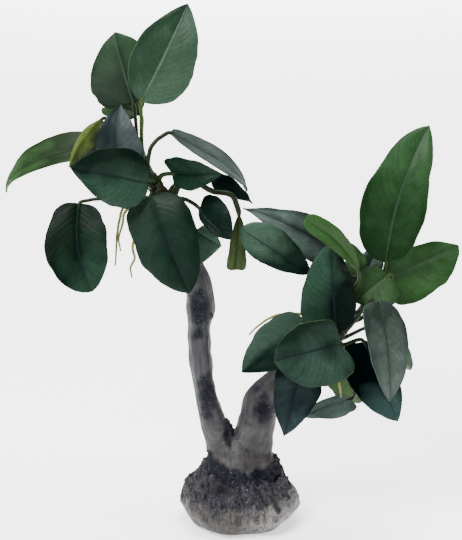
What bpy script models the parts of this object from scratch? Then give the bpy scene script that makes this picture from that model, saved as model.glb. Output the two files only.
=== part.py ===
"""Anubias on driftwood: two plants on a forked piece of driftwood that stands in a lumpy rock foot. Each
plant is a creeping rhizome with leaves and roots. Metres, +Z up. The foot's flat underside is at Z = 0, and
the front is towards -Y."""

import math
from collections import namedtuple

import bmesh
import bpy
from mathutils import Vector, noise

MM = 0.001
GAP = 0.3 * MM

# Places are given as they show from the front, to an eye that looks down a little. Across and up are
# measured in a plane square to the eye's line, through VIEW_MIDDLE, and depth is how far behind (+) or in
# front of (-) the trunk the place is. All in millimetres.
VIEW_TILT = math.radians(18)
EYE_DISTANCE = 1200.0
VIEW_MIDDLE = Vector((-4.5, 0.0, 134.9))
MIDDLE_ACROSS = -4.5
MIDDLE_UP = 124.0


def place(across, up, depth):
    """The point at that depth that shows at across and up in the front view, in metres."""
    eye = VIEW_MIDDLE + EYE_DISTANCE * Vector((0, -math.cos(VIEW_TILT), math.sin(VIEW_TILT)))
    rise = up - MIDDLE_UP
    upwards = Vector((0, math.sin(VIEW_TILT), math.cos(VIEW_TILT)))
    seen = VIEW_MIDDLE + Vector((across - MIDDLE_ACROSS, 0, 0)) + rise * upwards
    return eye.lerp(seen, (depth - eye.y) / (seen.y - eye.y)) * MM


# Rock foot, in millimetres: radius and height up its side. Lumps swell all of it, upright ridges its wall,
# and clumps its upper half, from CLUMPS_START up to where they are full.
FOOT_PROFILE = ((21.5, 0.0), (26.5, 3.0), (28.6, 6.0), (30.2, 9.2), (29.8, 12.5), (28.2, 16.3),
                (26.0, 20.0), (22.8, 24.2), (18.0, 28.0))
FOOT_SIDES = 46
FOOT_LUMP = 1.3
FOOT_LUMP_SIZE = 14.0
FOOT_RIDGE = 0.5
FOOT_RIDGES = 15
FOOT_CLUMP = 0.9
FOOT_CLUMP_SIZE = 6.0
CLUMPS_START = 9.0
CLUMPS_FULL = 17.0

# Driftwood, in millimetres: across, up and depth of the middle of the wood, then its radius
STUMP = ((1.5, 22.0, 0.0, 19.0), (1.5, 29.0, 0.0, 16.5), (1.5, 34.0, 0.0, 14.8),
         (1.5, 39.0, 0.0, 13.0), (2.0, 43.0, 0.0, 11.0))
LEFT_LIMB = ((-6.0, 28.0, 0.0, 9.5), (-10.5, 39.0, 0.5, 7.2), (-14.2, 51.0, 1.5, 5.9),
             (-17.4, 64.0, 3.0, 5.5), (-19.8, 80.0, 4.0, 5.8), (-20.4, 94.0, 4.0, 6.3),
             (-19.9, 107.0, 3.0, 7.1), (-21.0, 116.0, 2.0, 7.0), (-25.0, 126.0, 1.0, 6.3),
             (-30.5, 136.0, 0.5, 5.4), (-35.5, 145.0, 0.5, 4.6), (-38.5, 152.0, 1.0, 3.4))
RIGHT_LIMB = ((4.0, 28.0, 0.0, 11.5), (6.4, 39.0, -0.5, 10.4), (9.0, 50.0, -1.0, 9.4),
              (11.5, 58.5, -1.0, 9.8), (18.5, 65.0, -1.0, 9.2), (27.0, 71.5, -1.0, 8.4),
              (35.0, 78.5, -1.0, 7.2), (42.0, 86.0, -1.0, 5.4))
STUB = ((-6.5, 38.0, -1.0, 4.0), (-6.0, 45.0, -2.0, 3.4), (-5.4, 49.5, -2.5, 2.2))
WOOD_SIDES = 16
WOOD_STEP = 3.0
WOOD_LUMP = 0.5
WOOD_LUMP_SIZE = 9.0
WOOD_GROOVE = 0.35
WOOD_GROOVES = 5
WOOD_TWIST = 0.03
WOOD_VOXEL = 1.5
WOOD_KEPT = 0.125
WOOD_SNAP = 0.05
SEAT_HEIGHT = 28.0
FORK_HEIGHT = 43.0
FORK_SPLIT = -3.0

# Rhizomes, in millimetres: across, up, depth and radius along the creeping stem
RHIZOMES = {
    "left": ((-31.0, 148.0, -8.5, 3.0), (-36.5, 156.0, -8.5, 4.2), (-41.5, 165.0, -7.5, 4.0),
             (-45.5, 173.0, -6.5, 2.4)),
    "right": ((38.0, 81.0, -11.5, 3.2), (45.5, 89.5, -10.5, 4.4), (51.5, 97.0, -9.0, 4.1),
              (56.0, 104.5, -7.5, 2.6)),
}
RHIZOME_SIDES = 8
RHIZOME_STEP = 2.4
RHIZOME_SCAR = 0.25
RHIZOME_SCARS = 2

# Roots, in millimetres: across, up and depth along each root, down to its tip
ROOTS = {
    "root_left_long": ((-46.2, 160.5, -4), (-53, 160, -6), (-58, 155.5, -7), (-60.8, 147, -7),
                       (-61.5, 137, -7), (-62.5, 126, -6.5)),
    "root_left_beside": ((-44.6, 156, -7.5), (-51, 157.5, -9), (-56.5, 154, -9.5), (-59.3, 147, -9.5),
                         (-60.2, 139.5, -9), (-59.8, 133.5, -9)),
    "root_left_inner": ((-41.5, 151.5, -7.5), (-48.5, 147, -8), (-53.5, 138, -9), (-53, 130, -9),
                        (-54.5, 124.5, -9), (-54, 120, -9)),
    "root_right_long": ((40, 92.5, -8), (35.5, 100.5, -8), (24.5, 102, -9), (16, 100.5, -10),
                        (9.5, 96.5, -10), (4.5, 91.5, -10)),
    "root_right_short": ((48.5, 83, -15.5), (49.5, 75, -18.5), (49.5, 66.5, -19.5), (50.5, 60.5, -19.5)),
}
ROOT_RADIUS = 0.55
ROOT_SIDES = 5
ROOT_TAPER = 0.45
ROOT_STEP = 4.5

# Leaves. A stalk leaves its plant's rhizome at foot, a share of the rhizome's length, and runs through any
# points in via to the heel of the blade, and the blade runs from there to the tip. heel, tip and via are
# across, up and depth. facing is the way the upper side looks. rise and droop are the midrib's angles, in
# degrees, to the straight line from heel to tip, and sway bows the midrib sideways, as a share of that line.
# fold and cup lift the two halves, skew makes one half wider than the other, base and blunt draw the width
# in towards the heel and the tip, and lobe is how far the halves reach back past the heel, as such a share.
Leaf = namedtuple(
    "Leaf", "plant foot via heel tip width facing rise droop fold cup sway skew base blunt lobe")
LEFT = Leaf(
    plant="left", foot=0.5, via=(), heel=None, tip=None, width=None, facing=(0, -1, 0.3), rise=15,
    droop=20, fold=0.15, cup=-0.05, sway=0.0, skew=0.0, base=1.0, blunt=1.0, lobe=0.1)
RIGHT = LEFT._replace(plant="right")
LEAVES = {
    "leaf_left_top_tall": LEFT._replace(
        foot=0.97, via=((-48.3, 178, -2), (-49.2, 190, 2), (-49.4, 203, 3)), heel=(-49.5, 208.5, 4),
        tip=(-26.3, 257, 12), width=33, facing=(-0.2, -1, 0.1), rise=8, droop=12, sway=0.02, skew=0.07,
        base=1.3, lobe=0.0),
    "leaf_left_top_back": LEFT._replace(
        foot=0.74, via=((-50.8, 183, 8), (-51.8, 194, 10)), heel=(-53.5, 207.5, 9), tip=(-62.5, 243, 38),
        width=36, facing=(-0.2, -1, 0.3), rise=10, droop=25, blunt=1.2, lobe=0.06),
    "leaf_left_back_small": LEFT._replace(
        foot=0.86, via=((-48.4, 183, 4.5), (-49.2, 193, 8), (-48.9, 199.5, 15)), heel=(-50.5, 202, 19),
        tip=(-68.5, 205, 38), width=20, facing=(0, -0.6, 1), lobe=0.04),
    "leaf_left_upright": LEFT._replace(
        foot=0.88, heel=(-60, 176.5, -5), tip=(-59.5, 206.5, 4), width=23, facing=(-0.1, -1, 0.5),
        droop=35, sway=-0.06, skew=0.12, blunt=1.25),
    "leaf_left_far": LEFT._replace(
        foot=0.5, via=((-55, 177, 8),), heel=(-71, 185, 18), tip=(-117, 163, 22), width=22,
        facing=(-0.1, -0.5, 1), rise=37, droop=58, skew=0.12),
    "leaf_left_young": LEFT._replace(
        foot=0.7, via=((-56, 184, 3),), heel=(-69.5, 199, 11.5), tip=(-85.5, 175.5, -1), width=15,
        facing=(-0.3, -0.8, 0.6), fold=0.3, skew=-0.55, base=1.2, lobe=0.0),
    "leaf_left_front": LEFT._replace(
        foot=0.75, heel=(-46, 167, -14), tip=(-84.5, 175, -38), width=30, facing=(-0.2, -1, 0.45),
        rise=10),
    "leaf_left_hanging": LEFT._replace(
        foot=0.45, via=((-57.5, 158.5, -12), (-70, 159.5, -11), (-76, 158.8, -11.5)),
        heel=(-80.5, 157, -13), tip=(-74, 113.5, -28), width=31.5, facing=(-0.15, -1, 0.15), rise=12,
        droop=15, sway=0.075, blunt=0.66),
    "leaf_left_front_low": LEFT._replace(
        foot=0.55, heel=(-45, 160.5, -15), tip=(-25.5, 112.5, -29), width=33, facing=(-0.1, -1, 0.3),
        rise=20, droop=10, lobe=0.07, blunt=0.82),
    "leaf_left_arching": LEFT._replace(
        foot=0.85, via=((-46, 174, -10.5), (-45, 184, -8), (-42.5, 188, -7), (-39.5, 190.5, -6)),
        heel=(-34.5, 192.5, -4), tip=(3.5, 163.5, 10), width=24, facing=(0.5, -0.22, 1), rise=4,
        droop=26, lobe=0.14, base=1.6),
    "leaf_left_short": LEFT._replace(
        foot=0.8, heel=(-33.5, 172, -13), tip=(-9.5, 172, -26), width=17, facing=(0, -1, 0), fold=0.45,
        skew=-0.2, lobe=0.12),
    "leaf_left_inner": LEFT._replace(
        foot=0.3, heel=(-20, 154.5, -10), tip=(-5, 139.5, -22), width=15.5, facing=(-0.2, -1, 0.1),
        skew=-0.48, blunt=0.75),
    "leaf_left_low": LEFT._replace(
        foot=0.2, heel=(-21.5, 143.5, -6), tip=(-9.5, 136, -10), width=24, facing=(0, -1, 0.1), skew=0.55,
        lobe=0.0),
    "leaf_left_far_drop": LEFT._replace(
        foot=0.4, via=((-27, 169.5, -8), (-14, 163.5, -9), (-4.5, 161.5, -9), (-1.5, 156, -8)),
        heel=(-0.5, 151, -8), tip=(-2.3, 124.3, -6), width=9.6, facing=(0.3, -1, 0), rise=5, droop=5,
        base=1.8, blunt=0.12, lobe=0.0),
    "leaf_left_behind_arch": LEFT._replace(
        foot=0.5, heel=(-14, 169, 8), tip=(4, 158.5, 22), width=15, facing=(0.2, -0.8, 0.6), lobe=0.03),
    "leaf_right_tall": RIGHT._replace(
        foot=0.9, heel=(73, 128, 2), tip=(94.5, 196, 16), width=32, facing=(-0.15, -1, 0.25), rise=8,
        sway=-0.045, skew=-0.14, base=0.95, blunt=1.0, lobe=0.0),
    "leaf_right_side": RIGHT._replace(
        foot=0.8, heel=(73, 119.5, 10), tip=(109.5, 136, 34), width=26.5, facing=(0.1, -0.9, 0.45),
        rise=12, skew=0.28, lobe=0.1),
    "leaf_right_upper_left": RIGHT._replace(
        foot=0.85, heel=(51, 131.5, 13), tip=(1.5, 155, 20), width=25.3, facing=(-0.2, -0.6, 0.9),
        rise=9, skew=-0.09, base=1.05, blunt=1.5),
    "leaf_right_lower_left": RIGHT._replace(
        foot=0.7, heel=(35.5, 122, -6), tip=(0.5, 144.5, -14), width=18.5, facing=(-0.4, -0.8, 0.5),
        droop=25, sway=0.04, base=1.5, blunt=0.7, lobe=0.0),
    "leaf_right_young_long": RIGHT._replace(
        foot=0.98, heel=(59.5, 123, -12), tip=(32.5, 149, -19), width=10.5, facing=(-0.3, -0.7, 0.7),
        fold=0.35, sway=0.065, base=1.5, blunt=0.3, lobe=0.0),
    "leaf_right_young_short": RIGHT._replace(
        foot=0.97, heel=(60, 121.5, 2), tip=(54.5, 138, 3), width=11, facing=(0, -1, 0.3), fold=0.4,
        lobe=0.0),
    "leaf_right_young_front": RIGHT._replace(
        foot=0.85, heel=(74, 121, -3), tip=(57.5, 108, -9), width=23, facing=(-0.1, -1, 0.5), rise=10,
        skew=-0.15),
    "leaf_right_dark_centre": RIGHT._replace(
        foot=0.6, heel=(48, 94.5, -17), tip=(45.5, 138, -4.5), width=27.5, facing=(-0.1, -1, 0.1), rise=13,
        skew=-0.2),
    "leaf_right_low_left": RIGHT._replace(
        foot=0.5, heel=(34, 95.5, -12.5), tip=(1, 73, -24), width=26, facing=(-0.3, -0.9, 0.5)),
    "leaf_right_front_big": RIGHT._replace(
        foot=0.4, heel=(50, 87, -24), tip=(17.5, 78.5, -42), width=33, facing=(-0.2, -1, 0.35),
        skew=-0.12, blunt=0.66, lobe=0.31),
    "leaf_right_hanging": RIGHT._replace(
        foot=0.65, heel=(68.5, 107.5, -20), tip=(75, 58.5, -32), width=22.5, facing=(0.4, -0.9, 0.3),
        rise=30),
    "leaf_right_hanging_dark": RIGHT._replace(
        foot=0.35, heel=(62, 88, -10), tip=(79, 48.5, -18), width=25.5, facing=(0.1, -1, 0.1), skew=0.22),
    "leaf_right_back_tip": RIGHT._replace(
        foot=0.45, heel=(70, 94, 8), tip=(85.5, 74, 24), width=12, facing=(0.3, -0.8, 0.5)),
    "leaf_right_low_front": RIGHT._replace(
        foot=0.2, heel=(31, 75, -21), tip=(22, 41, -31), width=24, facing=(0, -1, 0.2), base=0.8,
        blunt=1.15),
    "leaf_right_low_small": RIGHT._replace(
        foot=0.1, via=((50, 73, -15), (57, 65, -13)), heel=(56, 59, -9), tip=(34.5, 51.5, -12),
        width=13.5, facing=(0, -0.6, 0.9), skew=-0.33),
    "leaf_right_low_green": RIGHT._replace(
        foot=0.25, heel=(52, 80, 3), tip=(60, 57.5, 13), width=25, facing=(0, -1, 0.2)),
    "leaf_right_back_up": RIGHT._replace(
        foot=0.75, heel=(57, 112, 15), tip=(70, 137, 38), width=15, facing=(0, -1, 0.3)),
}
BLADE_ROWS = (0.01, 0.05, 0.16, 0.36, 0.58, 0.78, 0.93)
BLADE_THICKNESS = 1.1
HEEL_ROUND = 0.45
TIP_POINT = 0.85
LOBE_ROUND = 1.3
LOBE_SKEW = 3
STALK_RADIUS = 0.95
STALK_RINGS = 4
STALK_LEAN = math.radians(35)
# Eight points round a blade: how far across it, from -1 to 1, and on its upper (1) or its under side (-1)
SECTION = ((-1, 0), (-0.5, 1), (0, 1), (0.5, 1), (1, 0), (0.5, -1), (0, -1), (-0.5, -1))

COLOURS = {
    "rock": (0x6b, 0x65, 0x62),
    "wood": (0x77, 0x71, 0x6c),
    "rhizome": (0x5f, 0x62, 0x35),
    "root": (0x8a, 0x8a, 0x3a),
    "leaf": (0x27, 0x48, 0x30),
}


def linear(byte):
    """One channel of a screen colour as the light it stands for."""
    value = byte / 255
    return value / 12.92 if value <= 0.04045 else ((value + 0.055) / 1.055) ** 2.4


def make_material(name, colour, roughness):
    material = bpy.data.materials.new(name)
    material.use_nodes = True
    shader = material.node_tree.nodes["Principled BSDF"]
    shader.inputs["Base Color"].default_value = [*(linear(byte) for byte in COLOURS[colour]), 1]
    shader.inputs["Roughness"].default_value = roughness
    return material


def add_object(name, mesh, colour, roughness):
    mesh.materials.append(make_material(name, colour, roughness))
    mesh.set_sharp_from_angle(angle=math.radians(50))
    obj = bpy.data.objects.new(name, mesh)
    bpy.context.collection.objects.link(obj)
    return obj


def loft(name, rings, tip=None):
    """A closed mesh through rings of points. Its far end is capped flat, or drawn to a point at tip."""
    bm = bmesh.new()
    loops = [[bm.verts.new(point) for point in ring] for ring in rings]
    count = len(loops[0])
    for lower, upper in zip(loops, loops[1:]):
        for i in range(count):
            j = (i + 1) % count
            bm.faces.new((lower[i], lower[j], upper[j], upper[i]))
    bm.faces.new(reversed(loops[0]))
    if tip is None:
        bm.faces.new(loops[-1])
    else:
        point = bm.verts.new(tip)
        for i in range(count):
            bm.faces.new((loops[-1][i], loops[-1][(i + 1) % count], point))
    bmesh.ops.recalc_face_normals(bm, faces=bm.faces)
    mesh = bpy.data.meshes.new(name)
    bm.to_mesh(mesh)
    bm.free()
    mesh.shade_smooth()
    return mesh


def curve_point(a, b, way_a, way_b, s):
    """The point at a share s of a smooth curve from a, going way_a, to b, going way_b, and its way there."""
    reach = (b - a).length
    spot = a + (b - a) * (3 * s**2 - 2 * s**3)
    spot = spot + reach * (way_a * (s**3 - 2 * s**2 + s) + way_b * (s**3 - s**2))
    way = (b - a) * (6 * s - 6 * s**2)
    way = way + reach * (way_a * (3 * s**2 - 4 * s + 1) + way_b * (3 * s**2 - 2 * s))
    return spot, way.normalized()


def smooth_path(points, step, first_way=None, last_way=None):
    """Spots about a step apart on a smooth curve through points, each with its way and place in points."""
    last = len(points) - 1
    ways = [(points[min(i + 1, last)] - points[max(i - 1, 0)]).normalized() for i in range(last + 1)]
    ways[0] = first_way or ways[0]
    ways[-1] = last_way or ways[-1]
    path = []
    for i in range(last):
        count = max(1, round((points[i + 1] - points[i]).length / step))
        for k in range(count):
            path.append((*curve_point(*points[i:i + 2], *ways[i:i + 2], k / count), i + k / count))
    path.append((points[-1].copy(), ways[-1], float(last)))
    return path


def between(values, position):
    """The value at a place between the listed ones."""
    i = min(int(position), len(values) - 2)
    return values[i] + (values[i + 1] - values[i]) * (position - i)


def across_way(way, side):
    """side, turned as little as needed to stand square to way."""
    return (side - side.dot(way) * way).normalized()


def tube_rings(path, radius_at, sides, side=Vector((0, -1, 0))):
    """Rings of points round a path, as far out as radius_at says."""
    rings = []
    for spot, way, position in path:
        side = across_way(way, side)
        other = way.cross(side)
        ring = []
        for k in range(sides):
            turn = 2 * math.pi * k / sides
            radius = radius_at(spot, position, turn)
            ring.append(spot + radius * (math.cos(turn) * side + math.sin(turn) * other))
        rings.append(ring)
    return rings


def foot_reach(turn, radius, height):
    """How far out the mound's side lies, with its lumps, ridges and clumps, in millimetres."""
    spot = Vector((radius * math.cos(turn), radius * math.sin(turn), height))
    lump = 2 * noise.noise(spot / FOOT_LUMP_SIZE)
    ridge = math.cos(FOOT_RIDGES * turn + 2 * lump) * math.sin(math.pi * height / SEAT_HEIGHT)
    high = min(max((height - CLUMPS_START) / (CLUMPS_FULL - CLUMPS_START), 0), 1)
    clump = 2 * noise.noise(spot / FOOT_CLUMP_SIZE) * high
    return radius + FOOT_LUMP * lump + FOOT_RIDGE * ridge + FOOT_CLUMP * clump


def rock_foot():
    """The mound: its profile turned round, lumpy and ridged, flat below and above."""
    rings = []
    for radius, height in FOOT_PROFILE:
        ring = []
        for k in range(FOOT_SIDES):
            turn = 2 * math.pi * k / FOOT_SIDES
            reach = foot_reach(turn, radius, height)
            ring.append(Vector((reach * math.cos(turn), reach * math.sin(turn), height)) * MM)
        rings.append(ring)
    return add_object("rock_foot", loft("rock_foot", rings), "rock", 0.85)


def wood_stock(table):
    """One stretch of the driftwood, as a lumpy, grooved tube."""
    points = [place(*row[:3]) for row in table]
    radii = [row[3] * MM for row in table]

    def radius_at(spot, position, turn):
        lump = 2 * noise.noise(spot / MM / WOOD_LUMP_SIZE)
        groove = math.cos(WOOD_GROOVES * turn + WOOD_TWIST * spot.z / MM + lump)
        return between(radii, position) + (WOOD_LUMP * lump + WOOD_GROOVE * groove) * MM

    path = smooth_path(points, WOOD_STEP * MM)
    return loft("wood_stock", tube_rings(path, radius_at, WOOD_SIDES))


def apply_modifiers(obj):
    """The object's mesh as its modifiers leave it."""
    graph = bpy.context.evaluated_depsgraph_get()
    return bpy.data.meshes.new_from_object(obj.evaluated_get(graph))


def whole_wood():
    """The whole driftwood as one skin round its stump, its stub and its two limbs."""
    bm = bmesh.new()
    for table in (STUMP, LEFT_LIMB, RIGHT_LIMB, STUB):
        bm.from_mesh(wood_stock(table))
    mesh = bpy.data.meshes.new("whole_wood")
    bm.to_mesh(mesh)
    bm.free()
    obj = bpy.data.objects.new("whole_wood", mesh)
    bpy.context.collection.objects.link(obj)
    remesh = obj.modifiers.new("skin", "REMESH")
    remesh.mode = "VOXEL"
    remesh.voxel_size = WOOD_VOXEL * MM
    thin = obj.modifiers.new("fewer faces", "DECIMATE")
    thin.ratio = WOOD_KEPT
    skin = apply_modifiers(obj)
    bpy.data.objects.remove(obj)
    return skin


def cut_wood(name, skin, planes):
    """The part of the wood's skin on the far side of each plane, closed where it is cut."""
    bm = bmesh.new()
    bm.from_mesh(skin)
    for point, way in planes:
        everything = bm.verts[:] + bm.edges[:] + bm.faces[:]
        bmesh.ops.bisect_plane(bm, geom=everything, dist=WOOD_SNAP * MM, plane_co=Vector(point) * MM,
                               plane_no=Vector(way), clear_inner=True)
        bmesh.ops.holes_fill(bm, edges=[edge for edge in bm.edges if edge.is_boundary])
        bmesh.ops.triangulate(bm, faces=[face for face in bm.faces if len(face.verts) > 4])
    bmesh.ops.recalc_face_normals(bm, faces=bm.faces)
    mesh = bpy.data.meshes.new(name)
    bm.to_mesh(mesh)
    bm.free()
    mesh.shade_smooth()
    return add_object(name, mesh, "wood", 0.8)


def driftwood():
    skin = whole_wood()
    half = GAP / MM / 2
    seat = ((0, 0, SEAT_HEIGHT + GAP / MM), (0, 0, 1))
    below_fork = ((0, 0, FORK_HEIGHT - half), (0, 0, -1))
    above_fork = ((0, 0, FORK_HEIGHT + half), (0, 0, 1))
    left_of_fork = ((FORK_SPLIT - half, 0, 0), (-1, 0, 0))
    right_of_fork = ((FORK_SPLIT + half, 0, 0), (1, 0, 0))
    cut_wood("driftwood_stump", skin, (seat, below_fork))
    cut_wood("driftwood_left_limb", skin, (above_fork, left_of_fork))
    cut_wood("driftwood_right_limb", skin, (above_fork, right_of_fork))


def rhizome_path(plant):
    return smooth_path([place(*row[:3]) for row in RHIZOMES[plant]], RHIZOME_STEP * MM)


def rhizome(plant):
    """A creeping stem, ringed by the scars of old leaves."""
    radii = [row[3] * MM for row in RHIZOMES[plant]]

    def radius_at(spot, position, turn):
        scar = math.cos(2 * math.pi * position * RHIZOME_SCARS)
        return between(radii, position) + RHIZOME_SCAR * MM * scar

    rings = tube_rings(rhizome_path(plant), radius_at, RHIZOME_SIDES)
    name = plant + "_rhizome"
    return add_object(name, loft(name, rings), "rhizome", 0.6)


def root(name):
    points = [place(*row) for row in ROOTS[name]]

    def radius_at(spot, position, turn):
        return ROOT_RADIUS * MM * (1 - ROOT_TAPER * position / (len(points) - 1))

    rings = tube_rings(smooth_path(points, ROOT_STEP * MM), radius_at, ROOT_SIDES)
    return add_object(name, loft(name, rings), "root", 0.6)


class Blade:
    """The curved midrib of a leaf, and the shape of the blade on both sides of it."""

    def __init__(self, leaf):
        self.leaf = leaf
        self.heel = place(*leaf.heel)
        self.tip = place(*leaf.tip)
        along = (self.tip - self.heel).normalized()
        self.length = (self.tip - self.heel).length
        self.normal = across_way(along, Vector(leaf.facing))
        self.side = along.cross(self.normal)
        rise, droop = math.radians(leaf.rise), math.radians(leaf.droop)
        third = self.length / 3
        self.rising = self.heel + third * (math.cos(rise) * along + math.sin(rise) * self.normal)
        self.falling = self.tip + third * (math.sin(droop) * self.normal - math.cos(droop) * along)
        self.half = leaf.width * MM / 2
        self.base_power = HEEL_ROUND * leaf.base
        self.tip_power = TIP_POINT * leaf.blunt
        widest = self.base_power / (self.base_power + self.tip_power)
        self.peak = widest**self.base_power * (1 - widest) ** self.tip_power

    def spine(self, t):
        """The midrib's place, its way, and the way to one side there."""
        a, b, c, d = self.heel, self.rising, self.falling, self.tip
        s = 1 - t
        spot = a * s**3 + b * 3 * s * s * t + c * 3 * s * t * t + d * t**3
        way = (b - a) * s * s + (c - b) * 2 * s * t + (d - c) * t * t
        bow = self.leaf.sway * self.length
        spot = spot + self.side * (bow * 4 * t * s)
        way = (way * 3 + self.side * (bow * 4 * (s - t))).normalized()
        return spot, way, way.cross(across_way(way, self.normal))

    def half_width(self, t):
        return self.half * t**self.base_power * (1 - t) ** self.tip_power / self.peak

    def point(self, t, across, lift):
        """A point of the blade: across runs from -1 to 1, and lift is the height over its middle layer."""
        leaf = self.leaf
        spot, way, side = self.spine(t)
        sign = math.copysign(1, across)
        out = abs(across) * self.half_width(t) * (1 + sign * leaf.skew)
        rise = leaf.fold * out + leaf.cup * out * out / self.half
        share = leaf.lobe * (1 + LOBE_SKEW * sign * leaf.skew)
        back = share * self.length * (out / self.half) ** LOBE_ROUND * (1 - t) ** 3
        return spot + side * (sign * out) + side.cross(way) * (rise + lift) - way * back


def stalk_path(leaf, blade):
    """The stalk's middle line, from just off the rhizome's surface to the heel of the blade."""
    spots = [row[:2] for row in rhizome_path(leaf.plant)]
    spot, way = spots[round(leaf.foot * (len(spots) - 1))]
    radii = [row[3] * MM for row in RHIZOMES[leaf.plant]]
    radius = between(radii, leaf.foot * (len(radii) - 1)) + RHIZOME_SCAR * MM
    via = [place(*row) for row in leaf.via]
    outwards = across_way(way, (via + [blade.heel])[0] - spot)
    foot = spot + outwards * (radius + GAP + STALK_RADIUS * MM * math.sin(STALK_LEAN))
    first_way = outwards * math.cos(STALK_LEAN) + way * math.sin(STALK_LEAN)
    points = [foot, *via, blade.heel]
    length = sum((b - a).length for a, b in zip(points, points[1:]))
    return smooth_path(points, length / STALK_RINGS, first_way, blade.spine(0)[1])


def make_leaf(name):
    """One leaf in one piece: its stalk opens out into its blade."""
    leaf = LEAVES[name]
    blade = Blade(leaf)
    turns = [math.atan2(lift, -across) for across, lift in SECTION]
    rings = []
    side = blade.spine(0)[2]
    for spot, way, position in reversed(stalk_path(leaf, blade)):
        side = across_way(way, side)
        up = side.cross(way)
        ring = [spot + STALK_RADIUS * MM * (math.cos(turn) * -side + math.sin(turn) * up) for turn in turns]
        rings.insert(0, ring)
    for t in BLADE_ROWS:
        rings.append([blade.point(t, across, lift * BLADE_THICKNESS * MM / 2) for across, lift in SECTION])
    return add_object(name, loft(name, rings, tip=blade.tip), "leaf", 0.4)


def main():
    for obj in list(bpy.data.objects):
        bpy.data.objects.remove(obj)
    rock_foot()
    driftwood()
    for plant in RHIZOMES:
        rhizome(plant)
    for name in ROOTS:
        root(name)
    for name in LEAVES:
        make_leaf(name)


main()
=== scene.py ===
"""Anubias on driftwood, dressed: every leaf with its veins and stalk, the grey driftwood in one skin, its
rough foot, the creeping stems and the roots, in a pale studio. Metres, +Z up, the front towards -Y."""

import math
from collections import namedtuple
from functools import partial

import bpy
import numpy as np
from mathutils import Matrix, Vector, noise


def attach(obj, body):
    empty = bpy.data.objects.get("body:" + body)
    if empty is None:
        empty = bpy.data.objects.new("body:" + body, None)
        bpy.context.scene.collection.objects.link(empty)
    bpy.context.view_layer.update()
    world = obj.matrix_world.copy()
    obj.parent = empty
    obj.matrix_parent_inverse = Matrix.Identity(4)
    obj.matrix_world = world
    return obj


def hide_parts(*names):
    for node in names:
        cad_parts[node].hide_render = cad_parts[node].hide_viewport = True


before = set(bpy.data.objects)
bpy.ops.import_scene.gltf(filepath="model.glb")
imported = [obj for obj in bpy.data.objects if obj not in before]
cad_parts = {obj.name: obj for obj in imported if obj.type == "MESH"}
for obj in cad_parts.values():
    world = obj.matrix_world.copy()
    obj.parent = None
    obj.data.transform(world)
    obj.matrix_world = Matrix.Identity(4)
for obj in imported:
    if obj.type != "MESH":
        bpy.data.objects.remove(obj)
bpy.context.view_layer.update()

MM = 0.001

# Places are given as they show from the front, to an eye that looks down a little. Across and up are
# measured in a plane square to the eye's line, through VIEW_MIDDLE, and depth is how far behind (+) or in
# front of (-) the trunk the place is. All in millimetres.
VIEW_TILT = math.radians(18)
EYE_DISTANCE = 1200.0
VIEW_MIDDLE = Vector((-4.5, 0.0, 134.9))
MIDDLE_ACROSS = -4.5
MIDDLE_UP = 124.0
EYE = VIEW_MIDDLE + EYE_DISTANCE * Vector((0, -math.cos(VIEW_TILT), math.sin(VIEW_TILT)))


def place(across, up, depth):
    """The point at that depth that shows at across and up in the front view, in metres."""
    upwards = Vector((0, math.sin(VIEW_TILT), math.cos(VIEW_TILT)))
    seen = VIEW_MIDDLE + Vector((across - MIDDLE_ACROSS, 0, 0)) + (up - MIDDLE_UP) * upwards
    return EYE.lerp(seen, (depth - EYE.y) / (seen.y - EYE.y)) * MM


# Rock foot, in millimetres: radius and height up its side. Lumps swell all of it, upright ridges its wall,
# and clumps its upper half, from CLUMPS_START up to where they are full.
FOOT_PROFILE = ((21.5, 0.0), (26.5, 3.0), (28.6, 6.0), (30.2, 9.2), (29.8, 12.5), (28.2, 16.3),
                (26.0, 20.0), (22.8, 24.2), (18.0, 28.0))
FOOT_LUMP = 1.3
FOOT_LUMP_SIZE = 14.0
FOOT_RIDGE = 0.5
FOOT_RIDGES = 15
FOOT_CLUMP = 0.9
FOOT_CLUMP_SIZE = 6.0
CLUMPS_START = 9.0
CLUMPS_FULL = 17.0

# Driftwood, in millimetres: across, up and depth of the middle of the wood, then its radius
STUMP = ((1.5, 22.0, 0.0, 19.0), (1.5, 29.0, 0.0, 16.5), (1.5, 34.0, 0.0, 14.8),
         (1.5, 38.0, 0.0, 12.6), (2.0, 41.0, 0.0, 9.5), (2.0, 43.0, 0.0, 5.0))
LEFT_LIMB = ((-6.0, 28.0, 0.0, 9.5), (-10.5, 39.0, 0.5, 7.2), (-14.2, 51.0, 1.5, 5.9),
             (-17.4, 64.0, 3.0, 5.5), (-19.8, 80.0, 4.0, 5.8), (-20.4, 94.0, 4.0, 6.3),
             (-19.9, 107.0, 3.0, 7.1), (-21.0, 116.0, 2.0, 7.0), (-25.0, 126.0, 1.0, 6.3),
             (-30.5, 136.0, 0.5, 5.4), (-35.5, 145.0, 0.5, 4.6), (-38.5, 152.0, 1.0, 3.4))
RIGHT_LIMB = ((4.0, 28.0, 0.0, 11.5), (6.4, 39.0, -0.5, 10.4), (9.0, 50.0, -1.0, 9.4),
              (11.5, 58.5, -1.0, 9.8), (18.5, 65.0, -1.0, 9.2), (27.0, 71.5, -1.0, 8.4),
              (35.0, 78.5, -1.0, 7.2), (42.0, 86.0, -1.0, 5.4))
STUB = ((-6.5, 38.0, -1.0, 4.0), (-6.4, 45.0, -1.5, 3.0), (-7.2, 50.0, -1.5, 1.5))
WOOD_LUMP = 0.5
WOOD_LUMP_SIZE = 9.0
WOOD_GROOVE = 0.35
GROOVE_SHARE = 0.7
WOOD_GROOVES = 5
WOOD_TWIST = 0.03
WOOD_STEP = 0.8
SEAT_HEIGHT = 28.0
WOOD_VOXEL = 0.55
WOOD_BLEND = 1.5
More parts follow.
